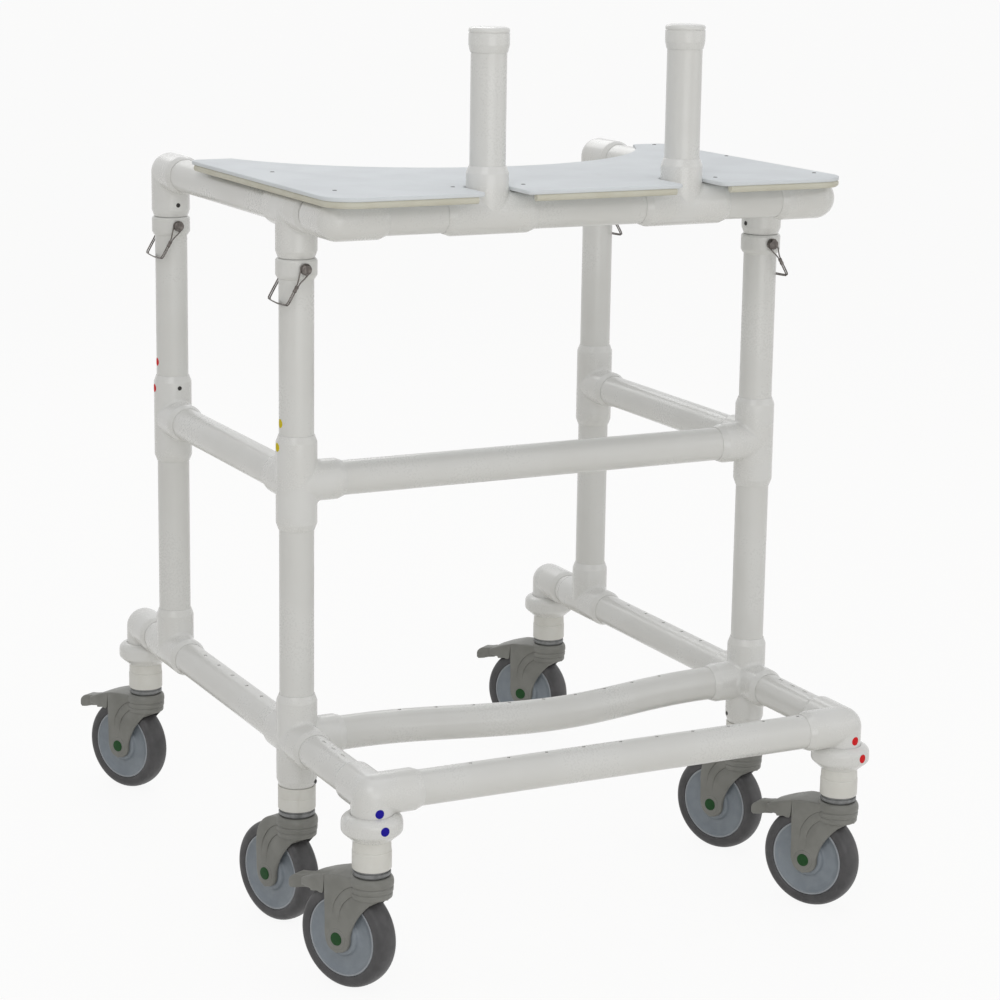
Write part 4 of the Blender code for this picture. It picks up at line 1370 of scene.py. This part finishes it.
@dataclass(frozen=True)
class Casters:
    """The six casters, laid out round their swivel axis with the wheel trailing to local Y."""

    layout: Layout
    wheel: float = 63.5 * MM
    trail: float = 34 * MM
    inner: float = 17.6 * MM
    outer: float = 22.7 * MM
    step: float = 1.3 * MM
    round_front: float = 3.0 * MM
    round_top: float = 3.4 * MM
    room: float = 67.2 * MM
    rear: float = 52.8 * MM
    crown: float = 25.2 * MM
    ridge_end: int = 30
    ridge_fade: int = 9
    seam_start: int = 13
    seam_end: int = 16
    seam_fade: int = 4
    easing: tuple[float, ...] = (0.0, 0.08, 0.3, 0.62, 1.0)
    ridge_lead: float = 0.7 * MM
    ridge_trail: float = 0.5 * MM
    ridge_share: float = 0.45
    lead_drop: float = 0.75
    trail_drop: float = 0.12
    least: float = 0.1 * MM
    seam_edge: float = 0.2 * MM
    hinge_end: float = 57 * MM
    channel_wall: float = 4.5 * MM
    tread_half: float = 11 * MM
    taper: float = 0.16
    taper_start: float = 58 * MM
    taper_reach: float = 33 * MM
    sides: int = 96
    sleeve_sides: int = 72
    tyre_sides: int = 112
    cheek_sides: int = 48
    cap_sides: int = 40

    def build(self) -> None:
        """Build and dress every caster."""
        for name, at in self.layout.swivels.items():
            locking = not name.startswith("middle")
            self._socket(name, at, locking)
            self._fork(name, locking)
            self._wheel(name)
            if locking:
                self._pedal(name)

    def _world(self, name: str) -> Matrix:
        """The placement of a caster's own frame."""
        at = self.layout.swivels[name]
        return Matrix.Translation((at.x, at.y, 0)) @ Matrix.Rotation(self.layout.turns[name], 4, "Z")

    def _axle(self) -> Vector:
        """The wheel's centre in the caster's own frame."""
        return Vector((0, self.trail, self.wheel))

    def _set(self, mould: Mould, label: str, name: str, finish: Finish, body: str, nodes: Iterable[str] = ()) -> None:
        """Set a piece that was made in the caster's frame."""
        bmesh.ops.transform(mould.bm, matrix=self._world(name), verts=mould.bm.verts)
        place(mould.mesh(label), f"{label}_{name}", finish, f"{body}_{name}", nodes)

    def _socket(self, name: str, at: Vector, locking: bool) -> None:
        """The fixed part: collar, sleeve and swivel ring.

        Args:
            name: The caster's name.
            at: Its swivel axis.
            locking: Whether it hangs from a corner, with a collar.
        """
        axis = Vector((at.x, at.y, 0))
        sleeve = Mould()
        corners = [(20.0, 152.9), (22.4, 152.9), (23.2, 153.9)]
        if locking:
            corners += [(23.2, 174.4), (22.7, 175.2), (22.2, 175.6), (22.7, 176.2), (22.2, 189.0)]
        else:
            corners += [(23.2, 168.2), (22.9, 168.5), (22.9, 168.9), (23.2, 169.2), (23.2, 182.6), (21.3, 182.6)]
        sleeve.turned(eased(in_mm(corners), 0.5 * MM, 2), axis, Z, self.sleeve_sides)
        place(sleeve.mesh("sleeve"), f"sleeve_{name}", Finishes.SLEEVE, "frame", [f"caster_socket_{name}"])
        ring = Mould()
        corners = [(0, 144.8), (20.0, 144.8), (20.0, 146.2), (22.0, 146.2), (22.4, 146.8), (22.4, 149.8)]
        corners += [(21.9, 150.4), (20.8, 150.6), (20.8, 153.4), (0, 153.4)]
        ring.turned(in_mm(corners), axis, Z, self.sleeve_sides)
        place(ring.mesh("swivel_ring"), f"swivel_ring_{name}", Finishes.SWIVEL, "frame")
        if locking:
            collar = Mould()
            corners = [(21.0, 188.6), (22.4, 187.8), (23.8, 188.2), (34.6, 197.6), (35.9, 199.6), (36.1, 202.0)]
            corners += [(36.1, 209.6), (35.3, 213.2), (32.6, 216.2), (28.5, 218.4), (25.2, 219.2), (25.2, 205.0)]
            collar.turned(eased(in_mm(corners), 1.2 * MM, 3), axis, Z, self.sides)
            place(collar.mesh("collar"), f"collar_{name}", Finishes.FITTING, "frame")

    def _upright(self) -> Matrix:
        """The placement that turns a slab's outline into (trail, height)."""
        return Matrix(((0, 0, 1, 0), (1, 0, 0, 0), (0, 1, 0, 0), (0, 0, 0, 1)))

    def _clearance(self) -> Mould:
        """The room for the wheel between the fork's walls.

        Returns:
            Its mould.
        """
        room = Mould()
        room.rod(self._axle(), X, self.room, (-self.inner, self.inner), self.sides)
        return room

    def _lines(self, locking: bool) -> list[list[Point]]:
        """The lines of the fork's side.

        Args:
            locking: Whether a pedal is hinged in the fork.

        Returns:
            Its lower edge, its two ridges and its upper edge, as (trail, height) from crown to toe.
        """
        lower = [(-24, 118.2), (-18, 117), (-11, 112.6), (-3, 104.6), (4, 96), (9.6, 87.5), (13.6, 79), (16.2, 69)]
        lower += [(16.8, 60), (19.8, 53), (25.5, 48.2), (33.1, 46.2)]
        first = [(-24, 126), (-12, 127), (2, 125), (13, 119.4), (21.5, 112.6), (27.5, 105), (30.8, 96), (31.6, 84)]
        first += [(31.6, 70), (31.7, 58), (32.4, 50.5), (33.7, 46.2)]
        second = [(-24, 133), (-8, 134.6), (8, 133.4), (19, 128.8), (28, 121.8), (34.6, 113), (39.0, 104), (40.6, 92)]
        second += [(40.8, 77), (39.4, 62), (37.2, 51.5), (34.3, 46.2)]
        if locking:
            upper = [(-24, 141.4), (-6, 141.9), (14, 142.2), (34, 141.4), (52.8, 138.4), (52.8, 130), (52.8, 118)]
            upper += [(52.4, 104), (51.9, 86), (51.4, 64), (45.8, 51.2), (34.9, 46.2)]
        else:
            upper = [(-24, 141.4), (-6, 141.9), (10, 142), (24, 140.4), (36, 135.4), (45, 127), (50, 116.5)]
            upper += [(52.4, 102), (51.9, 86), (51.4, 64), (45.8, 51.2), (34.9, 46.2)]
        return [in_mm(smooth(line, 4)) for line in (lower, first, second, upper)]

    def _walls(self, locking: bool) -> Mould:
        """The fork's walls: three levels with a rounded ridge between them that fades towards the toe.

        In front they follow the round crown, and behind they stop at the pedal's face.

        Args:
            locking: Whether a pedal is hinged in the fork.

        Returns:
            Their mould.
        """
        lines = [[Vector((min(y, self.rear), z)) for y, z in line] for line in self._lines(locking)]
        rings = []
        for i, (lower, first, second, upper) in enumerate(zip(*lines)):
            step = self.step * min(max((self.ridge_end - i) / self.ridge_fade, 0.0), 1.0)
            edge = self.round_top
            if locking and i >= self.seam_start:
                edge = max(edge * (self.seam_end - i) / self.seam_fade, self.seam_edge)
            levels = [self.outer - 2 * step, self.outer - step, self.outer]
            profile: list[tuple[Vector, float]] = []
            for k, (start, end) in enumerate(((lower, first), (first, second), (second, upper))):
                length = max((end - start).length, self.least)
                lead = self.round_front if k == 0 else self.ridge_lead
                trail = edge if k == 2 else self.ridge_trail
                for t in self.easing:
                    drop = lead * (1 - sqrt(1 - (1 - t) ** 2)) if k == 0 else step * self.lead_drop * (1 - t) ** 2
                    share = min(lead * t / length, self.ridge_share)
                    profile.append((start.lerp(end, share), levels[k] - drop))
                for t in reversed(self.easing):
                    drop = trail * (1 - sqrt(1 - (1 - t) ** 2)) if k == 2 else step * self.trail_drop * (1 - t)
                    share = min(trail * t / length, self.ridge_share)
                    profile.append((start.lerp(end, 1 - share), levels[k] - drop))
            sides = [(at, min(half, self._bow(at.x, half - levels[2]))) for at, half in profile]
            near = [Vector((-half, at.x, at.y)) for at, half in sides]
            far = [Vector((half, at.x, at.y)) for at, half in reversed(sides)]
            rings.append([*near, *far])
        walls = Mould()
        walls.closed_tube(rings)
        walls.drilled(self._clearance())
        return walls

    def _bow(self, y: float, inset: float) -> float:
        """The half width of the round crown at a distance from the swivel axis."""
        radius = self.crown + inset
        return self.outer if y >= 0 else sqrt(max(radius**2 - y**2, (1 * MM) ** 2))

    def _fork(self, name: str, locking: bool) -> None:
        """The fork: stepped crown, two ridged walls over the wheel, and axle caps.

        Args:
            name: The caster's name.
            locking: Whether a pedal is hinged in it.
        """
        axle = self._axle()
        body = self._walls(locking)
        steps = [
            (0, 118.2), (23.2, 118.2), (24.4, 119.2), (24.7, 124.0), (23.7, 125.4), (25.4, 126.4), (25.6, 131.0),
            (24.4, 132.6), (25.9, 133.6), (26.0, 136.4), (25.9, 138.6), (25.4, 140.6), (24.0, 143.0), (22.7, 144.2),
            (21.4, 144.4), (0, 144.4),
        ]
        crown = Mould()
        crown.turned(eased(in_mm(steps), 0.5 * MM, 2), Vector(), Z, self.sides)
        crown.drilled(self._clearance())
        body.joined(crown)
        cheek = [(0, 21.2), (12.8, 21.2), (12.8, 22.9), (12.0, 23.3), (0, 23.3)]
        cap = [(0, 22.0), (7.9, 22.0), (7.9, 23.9), (7.2, 24.55), (3.0, 24.75), (0, 24.8)]
        caps = Mould()
        for end in (X, -X):
            body.turned(eased(in_mm(cheek), 0.4 * MM), axle, end, self.cheek_sides)
            caps.turned(eased(in_mm(cap), 0.6 * MM), axle, end, self.cap_sides)
        self._set(body, "fork", name, Finishes.NYLON, "caster", [f"caster_fork_{name}"])
        self._set(caps, "axle_caps", name, Finishes.GREEN, "caster")

    def _wheel(self, name: str) -> None:
        """The wheel: dished centre with its hub, bright ring and crowned tyre.

        Args:
            name: The caster's name.
        """
        half = [(5.3, 16.9), (18.6, 16.5), (21.4, 15.6), (22.8, 13.6), (23.8, 11.4), (26.0, 10.3), (31.0, 9.7)]
        half += [(38.0, 10.1), (42.0, 11.4), (44.6, 13.0), (45.9, 13.3), (45.9, 11.8)]
        web = in_mm(eased(half, 1.1, 3))
        rim = [(45.4, 11.8), (45.4, 13.7), (46.2, 14.3), (47.4, 14.2), (48.1, 13.2)]
        ring = in_mm(eased(rim, 0.5, 3))
        wall = [(47.8, 11.0), (47.9, 13.2), (48.8, 14.6), (51.0, 15.5), (54.2, 15.8), (57.4, 15.1), (60.1, 13.0)]
        tyre = in_mm(smooth([*wall, (62.0, 9.6), (63.1, 5.4), (63.5, 0.0)], 4))
        centre, bright, rubber = Mould(), Mould(), Mould()
        for towards in (X, -X):
            centre.turned(web[::-1], self._axle(), towards, self.sides)
            bright.turned(ring[::-1], self._axle(), towards, self.sides)
        rubber.turned([(r, -w) for r, w in tyre] + tyre[::-1][1:], self._axle(), X, self.tyre_sides)
        self._set(centre, "wheel_centre", name, Finishes.WHEEL, "wheel", [f"wheel_rim_{name}"])
        self._set(bright, "wheel_ring", name, Finishes.RING, "wheel")
        self._set(rubber, "tyre", name, Finishes.RUBBER, "wheel", [f"wheel_tyre_{name}"])

    def _pedal(self, name: str) -> None:
        """The brake pedal: a hollow channel behind the fork and a narrower tread.

        Args:
            name: The caster's name.
        """
        top = [(53.1, 138.3), (61, 136.4), (70, 133.4), (78, 130.2), (86, 126.8), (91.4, 124.0)]
        under = [(91.6, 114.8), (88.8, 116.0), (85.6, 114.7), (77.4, 114.4), (75.8, 111.9), (70.5, 113.0)]
        under += [(65, 114.3), (61.5, 113.3), (58.8, 113.4), (56.0, 115.0), (54.7, 118.2), (53.2, 131.4)]
        body, room = Mould(), Mould()
        body.slab(in_mm([*top, *under])[::-1], -self.outer, self.outer, 2.6 * MM, self._upright())
        for vert in body.bm.verts:
            if vert.co.y < self.hinge_end:
                vert.co.x = self.outer if vert.co.x > 0 else -self.outer
        hollow = [(45, 131.6), (60, 130.2), (77, 124.6), (86.8, 119.0), (86.8, 95), (45, 95)]
        half = self.outer - self.channel_wall
        room.slab(in_mm(hollow)[::-1], -half, half, 0.1 * MM, self._upright())
        body.drilled(room)
        tread = [(86.0, 124.6), (93, 124.2), (98.0, 122.9), (103.5, 122.0), (109.5, 121.4), (114.4, 118.8)]
        tread += [(118.2, 115.2), (119.4, 111.6), (119.2, 105.4), (116.4, 103.0), (108, 104.6), (99, 107.6)]
        outline = eased(in_mm([*tread, (88, 109.6)]), 1.2 * MM, 3, closed=True)
        body.slab(outline[::-1], -self.tread_half, self.tread_half, 1.6 * MM, self._upright())
        for vert in body.bm.verts:
            along = min(max((vert.co.y - self.taper_start) / self.taper_reach, 0.0), 1.0)
            vert.co.x *= 1 - self.taper * along
        self._set(body, "pedal", name, Finishes.NYLON, "pedal", [f"brake_pedal_{name}"])


@dataclass(frozen=True)
class Mark:
    """A small round thing on an upright pipe or fitting.

    Args:
        side: The side of the walker.
        upright: Which upright of that side.
        height: Its height over the floor.
        turn: The direction that it faces, in degrees from the right.
        radius: The radius of what it is on.
        body: The body that it moves with.
    """

    side: Side
    upright: Upright
    height: float
    turn: float
    radius: float
    body: str = "frame"

    def out(self) -> Vector:
        """The direction that the mark faces."""
        return Vector((cos(radians(self.turn)), sin(radians(self.turn)), 0))


@dataclass(frozen=True)
class Trims:
    """Match marks, in pairs across each joint, and screws."""

    layout: Layout
    dot: float = 5.4 * MM
    dot_sides: int = 28
    screw: float = 2.9 * MM
    screw_sides: int = 32
    recess: float = 0.38
    sunk: float = 0.5 * MM
    board_sunk: float = 0.7 * MM
    dots: tuple[tuple[Finish, Mark], ...] = (
        (Finishes.RED, Mark(Side.LEFT, Upright.REAR, 0.6382, 177, 21.1 * MM)),
        (Finishes.RED, Mark(Side.LEFT, Upright.REAR, 0.6030, 176, 25.0 * MM)),
        (Finishes.YELLOW, Mark(Side.LEFT, Upright.FRONT, 0.6345, 180, 21.1 * MM)),
        (Finishes.YELLOW, Mark(Side.LEFT, Upright.FRONT, 0.6060, 180, 25.0 * MM)),
        (Finishes.BLUE, Mark(Side.LEFT, Upright.CORNER, 0.2250, -93, 25.0 * MM)),
        (Finishes.BLUE, Mark(Side.LEFT, Upright.CORNER, 0.2072, -89, 36.1 * MM)),
        (Finishes.RED, Mark(Side.RIGHT, Upright.CORNER, 0.2275, -77, 25.0 * MM)),
        (Finishes.RED, Mark(Side.RIGHT, Upright.CORNER, 0.2070, -73, 36.1 * MM)),
    )
    screws: tuple[Mark, ...] = (
        Mark(Side.LEFT, Upright.REAR, 0.8482, -87, 25.0 * MM, "table"),
        Mark(Side.RIGHT, Upright.FRONT, 0.8460, 186, 25.0 * MM, "table"),
        Mark(Side.LEFT, Upright.REAR, 0.6050, -88, 25.0 * MM),
        Mark(Side.LEFT, Upright.FRONT, 0.1890, -45, 25.0 * MM),
        Mark(Side.RIGHT, Upright.FRONT, 0.1947, 172, 25.0 * MM),
    )
    board: tuple[Point, ...] = (
        (-0.291, -0.088), (-0.299, -0.298), (-0.156, -0.311), (-0.066, -0.314), (0.190, -0.323), (0.333, -0.320),
        (0.341, -0.100), (0.329, 0.068),
    )

    def build(self) -> None:
        """Set every mark and screw."""
        for i, (finish, mark) in enumerate(self.dots):
            place(self._dot(mark).mesh("dot"), f"match_mark_{i}", finish, mark.body)
        for i, mark in enumerate(self.screws):
            at = self._centre(mark) + mark.out() * (mark.radius - self.sunk)
            place(self._screw(at, mark.out()).mesh("screw"), f"fitting_screw_{i}", Finishes.SCREW, mark.body)
        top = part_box("table_board")[1][2]
        for i, (x, y) in enumerate(self.board):
            mould = self._screw(Vector((x, y, top - self.board_sunk)), Z)
            place(mould.mesh("screw"), f"board_screw_{i}", Finishes.SCREW, "table")

    def _centre(self, mark: Mark) -> Vector:
        """The point on the upright's axis that is level with a mark."""
        return Vector((self.layout.post[mark.side], self.layout.depth(mark.upright), mark.height))

    def _dot(self, mark: Mark) -> Mould:
        """A round sticker that follows the curve of what it is on.

        Args:
            mark: Where it is.

        Returns:
            Its mould.
        """
        out, centre = mark.out(), self._centre(mark)
        across = Z.cross(out)
        rows = []
        for share, lift in ((0, 0.28), (0.5, 0.28), (0.92, 0.26), (1.0, 0.12), (1.02, -0.1)):
            radius = mark.radius + lift * MM
            row = []
            for j in range(self.dot_sides):
                angle = 2 * pi * j / self.dot_sides
                turn = self.dot * share * sin(angle) / radius
                row.append(centre + Z * self.dot * share * cos(angle) + (out * cos(turn) + across * sin(turn)) * radius)
            rows.append(row)
        mould = Mould()
        mould.grid(rows[::-1], ring=True)
        return mould

    def _screw(self, at: Vector, out: Vector) -> Mould:
        """A low pan-head screw with a cross recess.

        Args:
            at: The middle of its underside.
            out: The direction that it faces.

        Returns:
            Its mould.
        """
        head = [(0, 0, 0), (1, 0, 0), (1, 0.6, 0), (0.82, 1.05, 0)]
        cross = [(0.66, 1.15, 1), (0.6, 1.17, 1), (0.5, 0.75, 1), (0, 0.7, 1)]
        stand = facing(at, out)
        rows = []
        for share, height, waved in (*head, *cross):
            row = []
            for j in range(self.screw_sides):
                angle = 2 * pi * j / self.screw_sides
                wave = (1 - self.recess) + self.recess * cos(4 * angle) if waved else 1.0
                row.append(Vector((cos(angle), sin(angle), 0)) * self.screw * share * wave + Z * height * MM)
            rows.append([stand @ point for point in row])
        mould = Mould()
        mould.grid(rows, ring=True)
        return mould


@dataclass(frozen=True)
class Lamp:
    """A soft box.

    Args:
        name: Its name.
        at: Where it hangs.
        size: Its width and height.
        power: Its power in watts.
    """

    name: str
    at: Triple
    size: Point
    power: float

    def hang(self, aim: Vector) -> None:
        """Hang the lamp.

        Args:
            aim: The point that it faces.
        """
        data = bpy.data.lights.new(self.name, "AREA")
        data.shape = "RECTANGLE"
        data.size, data.size_y = self.size
        data.energy = self.power
        lamp = bpy.data.objects.new(self.name, data)
        turn = (aim - Vector(self.at)).to_track_quat("-Z", "Y").to_matrix().to_4x4()
        lamp.matrix_world = Matrix.Translation(self.at) @ turn
        bpy.context.scene.collection.objects.link(lamp)


@dataclass(frozen=True)
class Studio:
    """The floor, the light and the camera."""

    lamps: tuple[Lamp, ...] = (
        Lamp("key", (-2.2, -2.8, 3.0), (2.2, 2.2), 22),
        Lamp("fill", (2.8, -2.4, 1.6), (2.2, 2.0), 9),
        Lamp("low", (-0.6, -3.9, 0.75), (2.6, 1.4), 16),
        Lamp("top", (0.0, -0.2, 3.4), (2.4, 2.4), 14),
        Lamp("back", (0.4, 3.0, 2.8), (2.4, 1.4), 17),
    )
    aim: Triple = (0, 0, 0.5)
    white: Colour = (1.0, 1.0, 1.0)
    sky: float = 0.44
    eye: Triple = (-1.509, -3.1239, 1.2638)
    yaw: float = 25.889
    pitch: float = 11.931
    roll: float = 0.675
    focal: float = 2700.4
    principal: Point = (459.1, 454.4)
    image: float = 1000.0
    sensor: float = 36.0
    farthest: float = 100.0
    floor: Colour = (0.90, 0.885, 0.84)
    floor_half: float = 30.0
    floor_patch: float = 0.5
    floor_grain: float = 0.01
    floor_roughness: float = 0.55
    floor_gloss: float = 0.1
    cleared: float = 0.92

    def build(self) -> None:
        """Set up the whole studio."""
        self._floor()
        self._world()
        for lamp in self.lamps:
            lamp.hang(Vector(self.aim))
        self._camera()

    def _floor(self) -> None:
        """A wide pale floor that keeps the object's shadow."""
        mould, half = Mould(), self.floor_half
        mould.grid([[Vector((-half, y, 0)), Vector((half, y, 0))] for y in (half, -half)])
        mesh = mould.mesh("floor")
        palette = Palette(bpy.data.materials.new("pale_floor"))
        shader = palette.tree.nodes["Principled BSDF"]
        rough = palette.noise(self.floor_patch) * self.floor_grain + self.floor_roughness
        palette.feed(shader.inputs["Roughness"], rough)
        palette.feed(shader.inputs["Base Color"], self.floor)
        palette.feed(shader.inputs["Specular IOR Level"], self.floor_gloss)
        white = palette.node("ShaderNodeEmission", {}, {"Color": self.white, "Strength": 1.0})
        palette.shown(palette.seen() * self.cleared, shader.outputs[0], white.outputs[0], "Material Output")
        mesh.materials.append(palette.holder)
        floor = bpy.data.objects.new("floor", mesh)
        bpy.context.scene.collection.objects.link(floor)

    def _world(self) -> None:
        """Soft even light, and white where nothing stands."""
        world = bpy.data.worlds.new("studio")
        bpy.context.scene.world = world
        palette = Palette(world)
        soft = palette.tree.nodes["Background"]
        palette.feed(soft.inputs["Color"], self.white)
        palette.feed(soft.inputs["Strength"], self.sky)
        white = palette.node("ShaderNodeBackground", {}, {"Color": self.white, "Strength": 1.0})
        palette.shown(palette.seen(), soft.outputs[0], white.outputs[0], "World Output")

    def _camera(self) -> None:
        """The camera, at the photograph's own place."""
        yaw, pitch, roll = radians(self.yaw), radians(self.pitch), radians(self.roll)
        view = Vector((sin(yaw) * cos(pitch), cos(yaw) * cos(pitch), -sin(pitch)))
        level = Vector((cos(yaw), -sin(yaw), 0))
        upright = level.cross(view)
        right = level * cos(roll) + upright * sin(roll)
        up = upright * cos(roll) - level * sin(roll)
        data = bpy.data.cameras.new("camera")
        data.sensor_width = self.sensor
        data.lens = self.focal / self.image * data.sensor_width
        data.shift_x = (self.image / 2 - self.principal[0]) / self.image
        data.shift_y = (self.principal[1] - self.image / 2) / self.image
        data.clip_end = self.farthest
        camera = bpy.data.objects.new("camera", data)
        turned = Matrix((right, up, -view)).transposed().to_4x4()
        camera.matrix_world = Matrix.Translation(self.eye) @ turned
        bpy.context.scene.collection.objects.link(camera)
        bpy.context.scene.camera = camera
        bpy.context.scene.view_settings.view_transform = "Standard"


def main() -> None:
    """Build the studio and the walker."""
    logging.basicConfig(level=logging.INFO, format="%(name)s: %(message)s")
    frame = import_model()
    Studio().build()
    layout = Layout.measured(frame)
    work = Pipework()
    for part in (
        BaseFrame(layout, work),
        Posts(layout, work),
        LockPins(layout),
        SupportTable(layout, work),
        Casters(layout),
        Trims(layout),
    ):
        part.build()
        LOG.info("%s done", type(part).__name__)
    bpy.context.view_layer.update()


if __name__ == "__main__":
    main()
